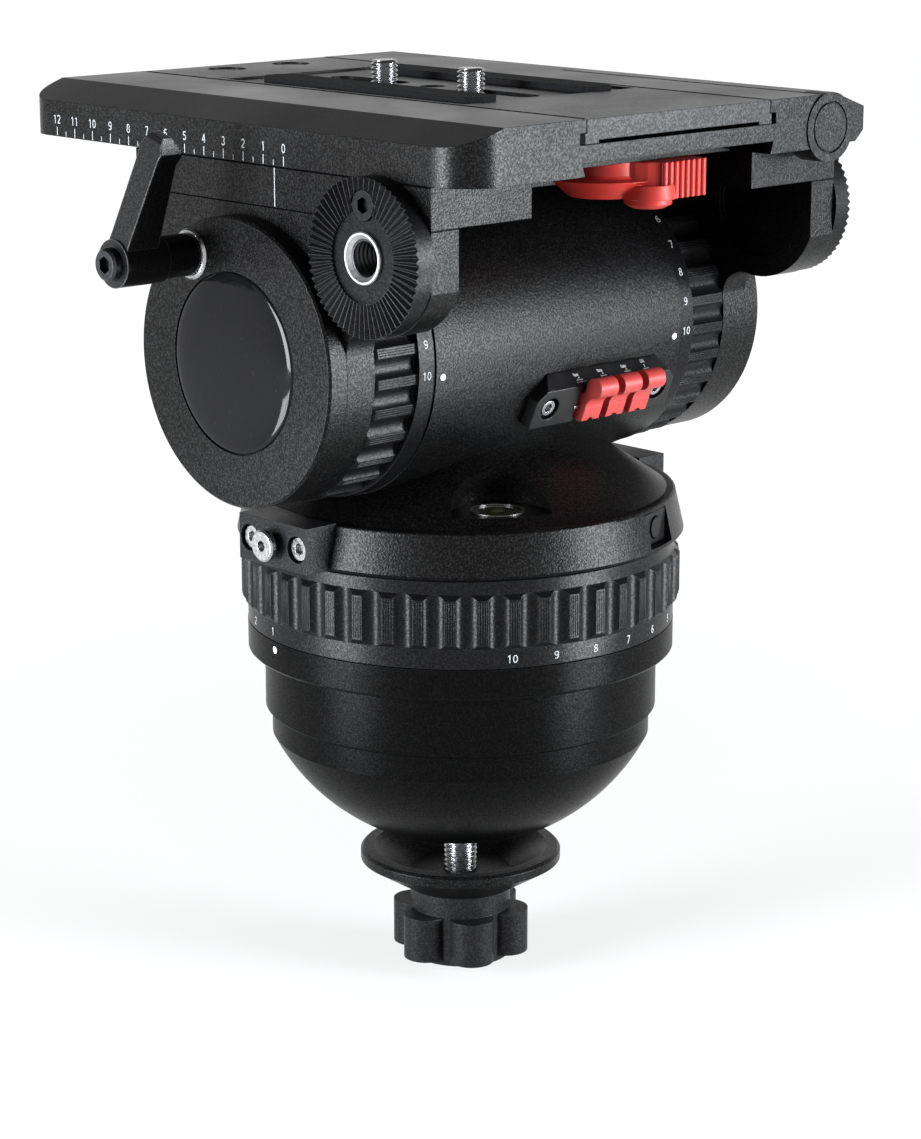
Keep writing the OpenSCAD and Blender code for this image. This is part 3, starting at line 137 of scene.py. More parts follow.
paper = bpy.data.materials.new("paper_floor")
paper.use_nodes = True
paper_tree = paper.node_tree
sheet = paper_tree.nodes["Principled BSDF"]
sheet.inputs["Base Color"].default_value = (0.25, 0.25, 0.25, 1)
sheet.inputs["Roughness"].default_value = 0.9
sheet.inputs["Specular IOR Level"].default_value = 0.0
sheet.inputs["Emission Color"].default_value = (1, 1, 1, 1)
spread = paper_tree.nodes.new("ShaderNodeVectorMath")
spread.operation = "LENGTH"
paper_tree.links.new(paper_tree.nodes.new("ShaderNodeTexCoord").outputs["Object"], spread.inputs[0])
near, far, near_glow, far_glow = 0.1, 1.0, 0.70, 0.97
glow = remap(paper_tree, spread.outputs["Value"], near, far, near_glow, far_glow)
shown = combine(paper_tree, "MULTIPLY", seen_directly(paper_tree), glow)
paper_tree.links.new(shown, sheet.inputs["Emission Strength"])
floor_z, floor_half = cad_box[0][2] - 0.0005, 40
floor_corners = [(x * floor_half, y * floor_half, floor_z) for x, y in ((-1, -1), (1, -1), (1, 1), (-1, 1))]
floor_mesh = bpy.data.meshes.new("floor")
floor_mesh.from_pydata(floor_corners, [], [(0, 1, 2, 3)])
floor_mesh.materials.append(paper)
floor = bpy.data.objects.new("floor", floor_mesh)
scene.collection.objects.link(floor)

# Half ball and pan base. Both are turned from aluminium and hard anodised black; a steel pan shaft stands
# in the middle, held by a nut, and the base's fixed ring carries two painted index dots.


def new_finish(name):
    """Empty node material with its tree, its shader and the piece's own Object coordinates."""
    finish = bpy.data.materials.new(name)
    finish.use_nodes = True
    tree = finish.node_tree
    where = tree.nodes.new("ShaderNodeTexCoord").outputs["Object"]
    return finish, tree, tree.nodes["Principled BSDF"], where


def noise(tree, where, cells, detail=2.0):
    """Noise with `cells` cells to the metre."""
    field = tree.nodes.new("ShaderNodeTexNoise")
    field.inputs["Scale"].default_value = cells
    field.inputs["Detail"].default_value = detail
    tree.links.new(where, field.inputs["Vector"])
    return field.outputs["Fac"]


def shade(colour, share, lift=0.0):
    """Colour with each part multiplied by a share and lifted, held at 1."""
    return tuple(min(c * share + lift, 1) for c in colour)


def blend(tree, share, first, second):
    """Colour that goes from first to second with the share; each is a colour or another node's output."""
    mix = tree.nodes.new("ShaderNodeMix")
    mix.data_type = "RGBA"
    tree.links.new(share, mix.inputs["Factor"])
    for socket, colour in ((mix.inputs[6], first), (mix.inputs[7], second)):
        if isinstance(colour, bpy.types.NodeSocket):
            tree.links.new(colour, socket)
        else:
            socket.default_value = (*colour, 1)
    return mix.outputs[2]


def round_edges(tree, radius):
    """Normal that rounds edges off within a radius, and how far it leans off the true face, 0 to 1."""
    bevel = tree.nodes.new("ShaderNodeBevel")
    bevel.samples = 6
    bevel.inputs["Radius"].default_value = radius
    face = tree.nodes.new("ShaderNodeNewGeometry")
    dot = tree.nodes.new("ShaderNodeVectorMath")
    dot.operation = "DOT_PRODUCT"
    tree.links.new(bevel.outputs["Normal"], dot.inputs[0])
    tree.links.new(face.outputs["Normal"], dot.inputs[1])
    upright, leaning = 1.0, 0.75
    return bevel.outputs["Normal"], remap(tree, dot.outputs["Value"], upright, leaning, 0.0, 1.0)


def relief(tree, height, depth, normal):
    """Bump of a given depth in metres on top of a normal."""
    bump = tree.nodes.new("ShaderNodeBump")
    bump.inputs["Distance"].default_value = depth
    tree.links.new(height, bump.inputs["Height"])
    tree.links.new(normal, bump.inputs["Normal"])
    return bump.outputs["Normal"]


def grained(name, colour, rough, fleck=4.0, cells=1500, depth=0.12 * MM, wear_and_glint=0.03, gloss=0.105, top=1.0,
            round_r=0.4 * MM):
    """Grained black, of blasted and anodised aluminium or of filled plastic: fine grain flecks the colour
    and the shine and dents the surface; faces that look up have less grain, by `top`, and more shine; slow
    clouds change the roughness, and edges are rounded and painted paler, a little as rubbed wear and, where
    `wear_and_glint` is set high, as a painted highlight."""
    finish, tree, shader, where = new_finish(name)
    facing = tree.nodes.new("ShaderNodeSeparateXYZ")
    tree.links.new(tree.nodes["Texture Coordinate"].outputs["Normal"], facing.inputs["Vector"])
    upward = facing.outputs["Z"]
    grain = noise(tree, where, cells)
    grain = combine(tree, "MULTIPLY", grain, remap(tree, upward, 0.25, 0.45, 1.0, top))
    cloud = noise(tree, where, 22, detail=3)
    normal, edge = round_edges(tree, round_r)
    flecked = blend(tree, remap(tree, grain, 0.50, 0.66, 0, 1), colour, shade(colour, fleck))
    # Paler edges: rubbed wear, and where the setting is high, a painted highlight.
    rubbed_and_glint = combine(tree, "MULTIPLY", edge, remap(tree, cloud, 0.35, 0.65, wear_and_glint * 0.3, wear_and_glint))
    edge_pale = (0.30, 0.30, 0.31)
    tree.links.new(blend(tree, rubbed_and_glint, flecked, edge_pale), shader.inputs["Base Color"])
    tree.links.new(remap(tree, cloud, 0.3, 0.7, rough - 0.05, rough + 0.05), shader.inputs["Roughness"])
    tree.links.new(relief(tree, grain, depth, normal), shader.inputs["Normal"])
    shine = remap(tree, grain, 0.40, 0.68, gloss * 0.8, gloss * 1.95)
    top_shine = 1.0 + 2.4 * (1.0 - top)
    shine = combine(tree, "MULTIPLY", shine, remap(tree, upward, 0.8, 0.98, 1.0, top_shine))
    tree.links.new(shine, shader.inputs["Specular IOR Level"])
    return finish


def bare_metal(name, colour, rough):
    """Bare machined metal: fine tool marks change the colour, roughness and relief, edges are brighter, and
    the bottoms of threads and sockets are darkened as painted shade."""
    finish, tree, shader, where = new_finish(name)
    marks = noise(tree, where, 900, detail=3)
    normal, edge = round_edges(tree, 0.3 * MM)
    # Painted shade: occlusion darkens the colour in hollows such as thread roots and sockets.
    open_sky = tree.nodes.new("ShaderNodeAmbientOcclusion")
    open_sky.samples = 8
    open_sky.inputs["Distance"].default_value = 1.2 * MM
    marked = blend(tree, remap(tree, marks, 0.35, 0.65, 0, 1), shade(colour, 0.86), colour)
    bottom = remap(tree, open_sky.outputs["AO"], 0.35, 0.8, 0, 1)
    marked = blend(tree, bottom, shade(colour, 0.04), marked)
    tree.links.new(blend(tree, edge, marked, shade(colour, 1.25)), shader.inputs["Base Color"])
    tree.links.new(remap(tree, marks, 0.3, 0.7, rough - 0.06, rough + 0.08), shader.inputs["Roughness"])
    tree.links.new(relief(tree, marks, 0.003 * MM, normal), shader.inputs["Normal"])
    shader.inputs["Metallic"].default_value = 1.0
    return finish


def printed(name, colour, rough, shine=0.3):
    """Screen-printed paint: thin, a little uneven in cover and roughness."""
    finish, tree, shader, where = new_finish(name)
    cover = noise(tree, where, 1500)
    covered = blend(tree, remap(tree, cover, 0.3, 0.6, 0, 1), shade(colour, 0.82), colour)
    tree.links.new(covered, shader.inputs["Base Color"])
    tree.links.new(remap(tree, cover, 0.3, 0.7, rough - 0.08, rough + 0.08), shader.inputs["Roughness"])
    shader.inputs["Specular IOR Level"].default_value = shine
    return finish


def dress(finish, *nodes):
    """Gives carried nodes their finish."""
    for node in nodes:
        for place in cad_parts[node].material_slots:
            place.material = finish


def add_piece(name, mesh, finish, body, sharp=35):
    """Puts a mesh into the scene as a piece on a body: joined seams, outward faces, smooth up to a sharp
    angle."""
    work = bmesh.new()
    work.from_mesh(mesh)
    bmesh.ops.remove_doubles(work, verts=work.verts, dist=1e-7)
    bmesh.ops.recalc_face_normals(work, faces=work.faces)
    work.to_mesh(mesh)
    work.free()
    mesh.shade_smooth()
    mesh.set_sharp_from_angle(angle=math.radians(sharp))
    mesh.materials.append(finish)
    piece = bpy.data.objects.new(name, mesh)
    scene.collection.objects.link(piece)
    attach(piece, body)
    return piece


def skin(name, rings, finish, body, tube=False, sharp=35):
    """Closed mesh over rings of points, an array (copies, stations, points, 3): quads join each ring to the
    next, and a flat face closes each end, or the last ring joins the first where it is a tube."""
    rings = np.asarray(rings, float)
    copies, stations, points, _ = rings.shape
    index = np.arange(copies * stations * points).reshape(copies, stations, points)
    here = index if tube else index[:, :-1]
    there = np.roll(index, -1, axis=1) if tube else index[:, 1:]
    corners = [here, np.roll(here, -1, axis=2), np.roll(there, -1, axis=2), there]
    quads = np.stack(corners, axis=-1).reshape(-1, 4)
    ends = [] if tube else np.concatenate([index[:, 0, ::-1], index[:, -1]]).tolist()
    mesh = bpy.data.meshes.new(name)
    mesh.from_pydata(rings.reshape(-1, 3).tolist(), [], quads.tolist() + ends)
    return add_piece(name, mesh, finish, body, sharp)


def around(points):
    """Equal angles round a full turn."""
    return np.linspace(0, 2 * np.pi, points, endpoint=False)


def on_upright(angle, z, radius):
    """Place on a wall round the pan axis: u runs round it to the right, v up and w out, from an angle off
    the rear."""
    def place(u, v, w):
        a = math.radians(angle) + u / radius
        return np.stack([(radius + w) * np.sin(a), -(radius + w) * np.cos(a), z + v], axis=-1)
    return place


print_under, print_over = -0.15 * MM, 0.05 * MM


def dots(name, places, radius, finish, body):
    """Painted dots: a disc of points (u, v) for each place, from a little under the surface to a little
    over it."""
    a = around(28)
    u, v = radius * np.cos(a), radius * np.sin(a)
    rings = [[place(u, v, np.full_like(u, w)) for w in (print_under, print_over)] for place in places]
    return skin(name, rings, finish, body)


black = (0.0017, 0.0017, 0.0018)
turned_black = grained("turned_black", black, 0.30, fleck=1.5, depth=0.02 * MM, gloss=0.032)
bright_steel = bare_metal("bright_steel", (0.42, 0.42, 0.43), 0.24)
white_print = printed("white_print", (0.62, 0.63, 0.64), 0.5)
dress(turned_black, "half_ball", "base_housing")
dress(bright_steel, "pan_shaft", "pan_shaft_nut")
fixed_ring_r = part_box("base_housing")[1][0]
base_dot_angles, base_dot_z, base_dot_r = (-101.1, 78.9), 39.0 * MM, 1.25 * MM
base_dot_places = [on_upright(angle, base_dot_z, fixed_ring_r) for angle in base_dot_angles]
dots("base_dots", base_dot_places, base_dot_r, white_print, "base")

# Tie-down. A threaded steel stud comes down out of the ball, and a lobed plastic knob draws a cast cup up
# the stud.


def thread_radius(z, angle, radius, pitch, depth):
    """Radius of a V thread: it falls from the crest by up to the depth and comes back once in every pitch,
    and the place in the pitch moves on by one turn for each turn of the angle."""
    share = (z / pitch - angle / (2 * np.pi)) % 1.0
    return radius - depth * np.clip(1.25 * np.abs(2 * share - 1) - 0.1, 0, 1)


def threaded_rod(z0, z1, radius, pitch, depth, lead):
    """Rings of a threaded rod on the Z axis, eight to a pitch, with a cone that takes the thread off at
    both ends."""
    z = np.linspace(z0, z1, int((z1 - z0) / pitch * 8) + 2)[:, None]
    a = around(40)[None, :]
    cone = radius - depth * 1.1 + np.minimum(np.minimum(z - z0, z1 - z) / lead, 1) * depth * 1.2
    r = np.minimum(thread_radius(z, a, radius, pitch, depth), cone)
    return np.stack([r * np.cos(a), r * np.sin(a), z + 0 * a], axis=-1)


stud_top, stud_end = -32.15 * MM, -89.14 * MM
m12_r, m12_pitch = 6 * MM, 1.75 * MM
stud_rings = threaded_rod(stud_end, stud_top, m12_r, m12_pitch, depth=0.95 * MM, lead=1.2 * MM)
stud = skin("threaded_stud", stud_rings[None], bright_steel, "base", sharp=60)
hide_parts("tie_down_stud")
cast_black = grained("cast_black", black, 0.33)
knob_black = grained("knob_black", (0.006, 0.006, 0.0065), 0.42, fleck=1.6, cells=1400, depth=0.04 * MM)
dress(cast_black, "tie_down_cup")
dress(knob_black, "tie_down_knob")

# Pan drag ring. One moulded ring turns on the base's tower: a band of printed numbers below, then 45 grip
# lands between round flutes, each land with four raised lines, and a smooth band above.


def figure_strokes(sign):
    """Centre lines of a figure or capital, 1 tall: arcs of an ellipse (middle, half axes, first and last
    angle) and straight lines (both ends), each as 16 points; the 9 is the 6 turned half a turn."""
    t = np.linspace(0, 1, 16)
    def arc(x, y, rx, ry, first, last):
        a = np.radians(first + (last - first) * t)
        return np.stack([x + rx * np.cos(a), y + ry * np.sin(a)], axis=-1)
    def line(x0, y0, x1, y1):
        return np.stack([x0 + (x1 - x0) * t, y0 + (y1 - y0) * t], axis=-1)
    six = [arc(0.30, 0.31, 0.235, 0.245, 0, 360), arc(0.33, 0.47, 0.265, 0.465, 185, 55)]
    return {
        "0": [arc(0.30, 0.50, 0.235, 0.435, 0, 360)],
        "1": [line(0.34, 0, 0.34, 1), line(0.36, 0.97, 0.12, 0.79)],
        "2": [arc(0.30, 0.70, 0.23, 0.235, 165, -35), line(0.49, 0.57, 0.08, 0.08),
              line(0.05, 0.065, 0.55, 0.065)],
        "3": [arc(0.29, 0.715, 0.205, 0.22, 150, -90), arc(0.29, 0.28, 0.235, 0.215, 90, -155)],
        "4": [line(0.42, 0, 0.42, 1), line(0.41, 0.95, 0.07, 0.31), line(0.03, 0.30, 0.58, 0.30)],
        "5": [line(0.52, 0.935, 0.13, 0.935), line(0.165, 0.96, 0.11, 0.48),
              arc(0.285, 0.325, 0.245, 0.26, 140, -150)],
        "6": six,
        "7": [line(0.04, 0.935, 0.56, 0.935), line(0.53, 0.93, 0.21, 0)],
        "8": [arc(0.30, 0.725, 0.195, 0.21, 0, 360), arc(0.30, 0.285, 0.235, 0.22, 0, 360)],
        "9": [(0.6, 1) - path for path in six],
        "O": [arc(0.30, 0.50, 0.27, 0.435, 0, 360)],
        "N": [line(0.08, 0, 0.08, 1), line(0.08, 0.97, 0.52, 0.03), line(0.52, 0, 0.52, 1)],
        "F": [line(0.10, 0, 0.10, 1), line(0.06, 0.935, 0.54, 0.935), line(0.10, 0.50, 0.47, 0.50)],
    }[sign]


def letters(name, words, places, height, finish, body, weight):
    """Printed words in one mesh: each stroke is a flat band of the weight along its centre line, set square
    to the line's direction, and each word goes through its own place with its middle there."""
    across = np.array([-1, 1, 1, -1.0])
    over = np.array([print_under, print_under, print_over, print_over])
    advance, space = 0.72, 0.12
    bands = []
    for word, place in zip(words, places):
        start = -(len(word) * advance - space) / 2
        for k, sign in enumerate(word):
            for path in figure_strokes(sign):
                path = path + (start + advance * k, -0.5)
                along = np.gradient(path, axis=0)
                along /= np.linalg.norm(along, axis=1, keepdims=True)
                u = (path[:, :1] - along[:, 1:] * across * weight / 2) * height
                v = (path[:, 1:] + along[:, :1] * across * weight / 2) * height
                bands.append(place(u, v, over + 0 * u))
    return skin(name, bands, finish, body)


def grip_lines(angles, radius, low, high, place):
    """Rings of the raised lines on grip lands: a low three-sided ridge at each angle, from low to high
    along the axis, drawn in at both ends; place(r, angle, along) turns them into points."""
    sunk, foot, ridge, half_width, taper = np.array([0.15, 0.05, 0.33, 0.27, 0.4]) * MM
    side = np.array([-1.0, 0.0, 1.0])
    swell = np.array([0.0, 1.0, 1.0, 0.0])
    along = np.array([low, low + taper, high - taper, high])
    r = radius - sunk + (ridge * swell[:, None] + foot) * (side == 0)[None, :]
    a = np.asarray(angles)[:, None, None] + side[None, None, :] * half_width / radius
    return place(r[None] + 0 * a, a + 0 * r[None], along[None, :, None] + 0 * a)


def land_angles(lands, lines, pitch, first=0.0):
    """Angles of the lines: a few, one pitch apart, about the middle of each of the equal lands."""
    middle = first + np.arange(lands) * 2 * np.pi / lands
    return (middle[:, None] + (np.arange(lines) - (lines - 1) / 2)[None, :] * pitch).ravel()


def round_z(r, a, along):
    """Point at a radius and an angle round the pan axis, and a height along it."""
    return np.stack([r * np.cos(a), r * np.sin(a), along], axis=-1)


ring_black = grained("ring_black", (0.0036, 0.0036, 0.0039), 0.29, fleck=1.5, depth=0.04 * MM, wear_and_glint=0.12,
                     gloss=0.09)
pale_print = printed("pale_print", (0.38, 0.39, 0.40), 0.5)
dress(ring_black, "pan_drag_ring")
pan_land_r, pan_lands, pan_land_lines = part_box("pan_drag_ring")[1][0], 45, 4
line_pitch, pan_line_low, pan_line_high = 0.82 * MM, 51.2 * MM, 65.5 * MM
pan_line_angles = land_angles(pan_lands, pan_land_lines, line_pitch / pan_land_r)
pan_lines = grip_lines(pan_line_angles, pan_land_r, pan_line_low, pan_line_high, round_z)
skin("pan_ring_lines", pan_lines, ring_black, "pan_ring")
dial_step, dial_height, dial_weight = 12, 2.8 * MM, 0.12
pan_starts, pan_band_z, pan_band_r = (-102.2, 77.8), 45.3 * MM, 75.0 * MM
pan_words = [(str(n + 1), start - dial_step * n) for start in pan_starts for n in range(10)]
pan_places = [on_upright(angle, pan_band_z, pan_band_r) for _, angle in pan_words]
letters("pan_ring_numbers", [word for word, _ in pan_words], pan_places, dial_height, pale_print, "pan_ring",
        dial_weight)

# Turret. One casting makes the tapered wall, the dome and the tilt drum across it; the pan bearings and the
# viscous damper sit inside.
inner_steel = bare_metal("inner_steel", (0.5, 0.5, 0.51), 0.35)
turret_black = grained("turret_black", black, 0.33, wear_and_glint=0.0, round_r=0.05 * MM)
dress(turret_black, "turret_housing")
dress(inner_steel, "pan_bearings", "pan_damper")

# Accessory blocks. Two machined blocks are screwed to the turret wall at the left and right; the left one
# holds the sprung pan lock pin.
block_black = grained("block_black", (0.005, 0.0051, 0.0058), 0.42, fleck=2.5, wear_and_glint=0.15)
dress(block_black, "left_block", "right_block")
dress(bright_steel, "block_screws", "pan_lock_pin")

# Bubble level. A thin metal cup pressed into a scoop in the turret, with a domed vial of yellow-green
# spirit and its bubble.


def middle_of(node):
    """Middle of a node's box in the frame."""
    return np.mean(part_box(node), axis=0)


level_x, level_y, _ = middle_of("bubble_vial")
level_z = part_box("bubble_vial")[1][2]


def cap_rings(radius, rise, base):
    """Rings of a flat dome round the level's middle: the height falls with the square of the radius."""
    a = around(40)[None, :]
    r = radius * np.cos(np.linspace(0, 0.97 * np.pi / 2, 10))[:, None]
    z = base + rise * (1 - (r / radius) ** 2)
    foot = level_z - 3 * MM
    low = np.stack([level_x + radius * np.cos(a), level_y + radius * np.sin(a), foot + 0 * a], axis=-1)
    top = np.stack([level_x + r * np.cos(a), level_y + r * np.sin(a), z + 0 * a], axis=-1)
    return np.concatenate([low, top])[None]


def still_liquid(name, colour, rough):
    """Tinted liquid under a clear cover: one colour with slow clouds, and a clear coat."""
    finish, tree, shader, where = new_finish(name)
    cloud = noise(tree, where, 260)
    tinted = blend(tree, remap(tree, cloud, 0.3, 0.7, 0, 1), shade(colour, 0.6), colour)
    tree.links.new(tinted, shader.inputs["Base Color"])
    tree.links.new(remap(tree, cloud, 0.3, 0.7, rough, rough + 0.05), shader.inputs["Roughness"])
    shader.inputs["Coat Weight"].default_value = 1.0
    shader.inputs["Coat Roughness"].default_value = 0.03
    return finish


spirit = still_liquid("spirit", (0.028, 0.032, 0.012), 0.1)
bubble_pale = still_liquid("bubble_pale", (0.07, 0.075, 0.04), 0.08)
vial_r, vial_rise, vial_sink = 8.05 * MM, 0.25 * MM, 0.1 * MM
vial_rings = cap_rings(vial_r, vial_rise, level_z - vial_sink)
vial = skin("level_vial", vial_rings, spirit, "turret")
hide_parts("bubble_vial")
bubble_r, bubble_rise, bubble_lift = 2.6 * MM, 0.3 * MM, 0.1 * MM
bubble_rings = cap_rings(bubble_r, bubble_rise, level_z + bubble_lift)
skin("level_bubble", bubble_rings, bubble_pale, "turret")
cup_steel = bare_metal("cup_steel", (0.16, 0.16, 0.155), 0.30)
dress(cup_steel, "bubble_ring")

# Light panel. A flat moulded window let into the turret wall, with the round push button of the level's
# light; thin black bars round each of them paint the shade of the gap there.
panel_black = grained("panel_black", (0.004, 0.004, 0.0045), 0.38, fleck=1.5, cells=1800, depth=0.02 * MM)
button_black = grained("button_black", (0.003, 0.003, 0.003), 0.33, fleck=1.4, cells=1800, depth=0.01 * MM)
dress(panel_black, "light_panel")
dress(button_black, "light_button")
panel_turn, panel_out, panel_z = math.radians(18.4), 74.9 * MM, 81.10 * MM


def on_panel(u0, v0):
    """Place on the flat panel: u runs to the right, v up and w out, from a point beside its middle."""
    def place(u, v, w):
        out = panel_out + w
        x = (u0 + u) * np.cos(panel_turn) + out * np.sin(panel_turn)
        y = (u0 + u) * np.sin(panel_turn) - out * np.cos(panel_turn)
        return np.stack([x, y, panel_z + v0 + v], axis=-1)
    return place


def bars(places, half_u, half_v):
    """Rings of thin painted bars, of print or of painted shade: a rectangle of half sizes in (u, v), the
    same for all or one for each place, from a little under the surface to a little over it."""
    u = np.array([-1, 1, 1, -1.0])
    v = np.array([-1, -1, 1, 1.0])
    half_u, half_v = np.broadcast_to(half_u, len(places)), np.broadcast_to(half_v, len(places))
    return [[place(u * hu, v * hv, np.full(4, w)) for w in (print_under, print_over)]
            for place, hu, hv in zip(places, half_u, half_v)]


# Painted shade: thin matt black bars laid over gaps and seams, where shade falls.
painted_seam_shade = printed("painted_seam_shade", (0.0015, 0.0015, 0.0017), 0.9, shine=0.0)
frame_u, frame_v, frame_half_u, frame_half_v, gap_half = np.array([8.1, 5.7, 8.3, 5.9, 0.22]) * MM
frame_sides = bars([on_panel(-frame_u, 0), on_panel(frame_u, 0)], gap_half, frame_half_v)
frame_ends = bars([on_panel(0, -frame_v), on_panel(0, frame_v)], frame_half_u, gap_half)
skin("panel_gap_shade", frame_sides + frame_ends, painted_seam_shade, "turret")
gap_in, gap_out = 3.64 * MM, 4.1 * MM
gap_r = np.array([[gap_in, gap_out, gap_out, gap_in]])
gap_w = np.array([[print_under, print_under, print_over, print_over]])
a = around(40)[:, None]
gap_ring = on_panel(0.0, 0.0)(gap_r * np.cos(a), gap_r * np.sin(a), gap_w + 0 * a)
skin("button_gap_shade", gap_ring[None], painted_seam_shade, "turret", tube=True)

# Switch bracket. A black bracket screwed to the drum's rear holds three red rocker switches on a pin;
# printed signs above them show which spring each one engages.
tilt_z = middle_of("tilt_shaft")[2]
bracket_drop = math.radians(22.4)
bracket_out = np.array([0, -math.cos(bracket_drop), -math.sin(bracket_drop)])
bracket_up = np.array([0, -math.sin(bracket_drop), math.cos(bracket_drop)])
label_low, label_high = np.array([7.0, 54.6]) * MM, np.array([10.6, 48.9]) * MM


def on_label(x, v0):
    """Place on the bracket's sloped label face: u to the right, v up the slope from its middle, w out of
    it."""
    slope = (label_high - label_low) / np.linalg.norm(label_high - label_low)
    out = np.array([-slope[1], slope[0]])
    middle = (label_low + label_high) / 2 + slope * v0
    def place(u, v, w):
        up = middle[0] + v * slope[0] + w * out[0]
        away = middle[1] + v * slope[1] + w * out[1]
        flat = up[..., None] * bracket_up + away[..., None] * bracket_out
        return flat + np.stack([x + u, 0 * u, tilt_z + 0 * u], axis=-1)
    return place


def moulded(name, colour, rough):
    """Moulded plastic: an even colour with slow clouds, fine texture and soft edges."""
    finish, tree, shader, where = new_finish(name)
    cloud = noise(tree, where, 120)
    grain = noise(tree, where, 2600)
    normal, edge = round_edges(tree, 0.6 * MM)
    clouded = blend(tree, remap(tree, cloud, 0.3, 0.7, 0, 1), shade(colour, 0.86), colour)
    edged = blend(tree, remap(tree, edge, 0, 1, 0, 0.5), clouded, shade(colour, 1.25, lift=0.01))
    tree.links.new(edged, shader.inputs["Base Color"])
    tree.links.new(remap(tree, cloud, 0.3, 0.7, rough - 0.04, rough + 0.06), shader.inputs["Roughness"])
    tree.links.new(relief(tree, grain, 0.02 * MM, normal), shader.inputs["Normal"])
    shader.inputs["Specular IOR Level"].default_value = 0.3
    return finish


bracket_black = moulded("bracket_black", (0.004, 0.004, 0.0043), 0.34)
# The switches' red is a darker copy of the slide lock's red plastic, as painted shade on faces that meet the
# lamps.
shaded_switch_red = moulded("shaded_switch_red", (0.38, 0.042, 0.038), 0.36)
grey_print = printed("grey_print", (0.30, 0.30, 0.31), 0.5)
dress(bracket_black, "switch_bracket")
dress(bright_steel, "bracket_screws", "switch_pin")
dress(shaded_switch_red, "switch_left", "switch_middle", "switch_right")
# Middles and half sizes of a sign's five marks about its switch, and of the dash between the words
sign_marks = [(-0.9, 1.0, 1.1, 0.45), (-1.9, 1.25, 0.35, 0.5), (-0.1, -0.1, 0.35, 0.3),
              (-0.1, -0.9, 1.5, 0.2), (0.5, -1.7, 2.4, 0.16)]
signs = [(x + du, dv, hu, hv) for x in (6.4, 18.0, 29.6) for du, dv, hu, hv in sign_marks]
word_dash = (38.4, 0.0, 0.15, 0.55)
sign_x, sign_rise, sign_u, sign_v = np.array(signs + [word_dash]).T * MM
sign_places = [on_label(x, v0) for x, v0 in zip(sign_x, sign_rise)]
skin("switch_signs", bars(sign_places, sign_u, sign_v), grey_print, "turret")
on_x, off_x, word_v, word_height = 38.2 * MM, 38.6 * MM, 1.75 * MM, 1.4 * MM
word_places = [on_label(on_x, word_v), on_label(off_x, -word_v)]
letters("switch_words", ["ON", "OFF"], word_places, word_height, grey_print, "turret", dial_weight)

# Tilt drum and drag rings. Numbered rings turn at both ends of the drum, the left one for the
# counterbalance and the right one for the drag; a painted dot on the drum marks the setting.


def on_drum(x, angle, radius):
    """Place round the tilt axis: u runs along X, v up round the drum from an angle over the rear, w out."""
    def place(u, v, w):
        a = math.radians(angle) + v / radius
        return np.stack([x + u, -(radius + w) * np.cos(a), tilt_z + (radius + w) * np.sin(a)], axis=-1)
    return place


def round_x(side):
    """Point at a radius and an angle round the tilt axis, and a distance out along it to one side."""
    def place(r, a, along):
        return np.stack([side * along, r * np.sin(a), tilt_z - r * np.cos(a)], axis=-1)
    return place


dress(ring_black, "counterbalance_ring", "tilt_drag_ring")
dress(inner_steel, "tilt_bearings", "spring_cartridges", "tilt_damper", "tilt_shaft")
drum_r, drum_dot_x, drum_dot_angle, drum_dot_r = 50 * MM, 55 * MM, -4.2, 1.15 * MM
drum_dot_places = [on_drum(side * drum_dot_x, drum_dot_angle, drum_r) for side in (-1, 1)]
dots("drum_dots", drum_dot_places, drum_dot_r, white_print, "turret")
ring_land_r, ring_lands, ring_land_lines, ring_turn = 48.4 * MM, 30, 3, math.radians(-2.2)
ring_line_in, ring_line_out = 65.6 * MM, 81.2 * MM
ring_band_r, ring_band_x, ring_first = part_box("counterbalance_ring")[1][1], 61.6 * MM, -3
ring_line_angles = land_angles(ring_lands, ring_land_lines, line_pitch / ring_land_r, ring_turn)
for side, body in ((-1, "counterbalance_ring"), (1, "tilt_drag_ring")):
    ring_lines = grip_lines(ring_line_angles, ring_land_r, ring_line_in, ring_line_out, round_x(side))
    skin(body + "_lines", ring_lines, ring_black, body)
    ring_places = [on_drum(side * ring_band_x, ring_first + dial_step * n, ring_band_r) for n in range(10)]
    letters(body + "_numbers", [str(10 - n) for n in range(10)], ring_places, dial_height, pale_print, body,
            dial_weight)

# Cheeks, end caps and badges. Two cast cheeks hang the platform from the tilt shaft; a round cap covers
# each end, with a domed gloss badge, left bare, set in its middle.
dress(cast_black, "left_cheek", "right_cheek", "left_cap", "right_cap")
badge_seat = -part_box("left_badge")[1][0]


def gloss(name, colour, rough):
    """Poured clear resin over a dark ground: deep colour with faint dust in it and a sharp coat."""
    finish, tree, shader, where = new_finish(name)
    dust = noise(tree, where, 900)
    dust_grey = (0.03, 0.03, 0.03)
    dusted = blend(tree, remap(tree, dust, 0.68, 0.8, 0, 0.4), colour, dust_grey)
    tree.links.new(dusted, shader.inputs["Base Color"])
    tree.links.new(remap(tree, dust, 0.3, 0.7, rough, rough + 0.04), shader.inputs["Roughness"])
    shader.inputs["Specular IOR Level"].default_value = 0.05
    shader.inputs["Coat Weight"].default_value = 0.2
    shader.inputs["Coat Roughness"].default_value = 0.02
    return finish


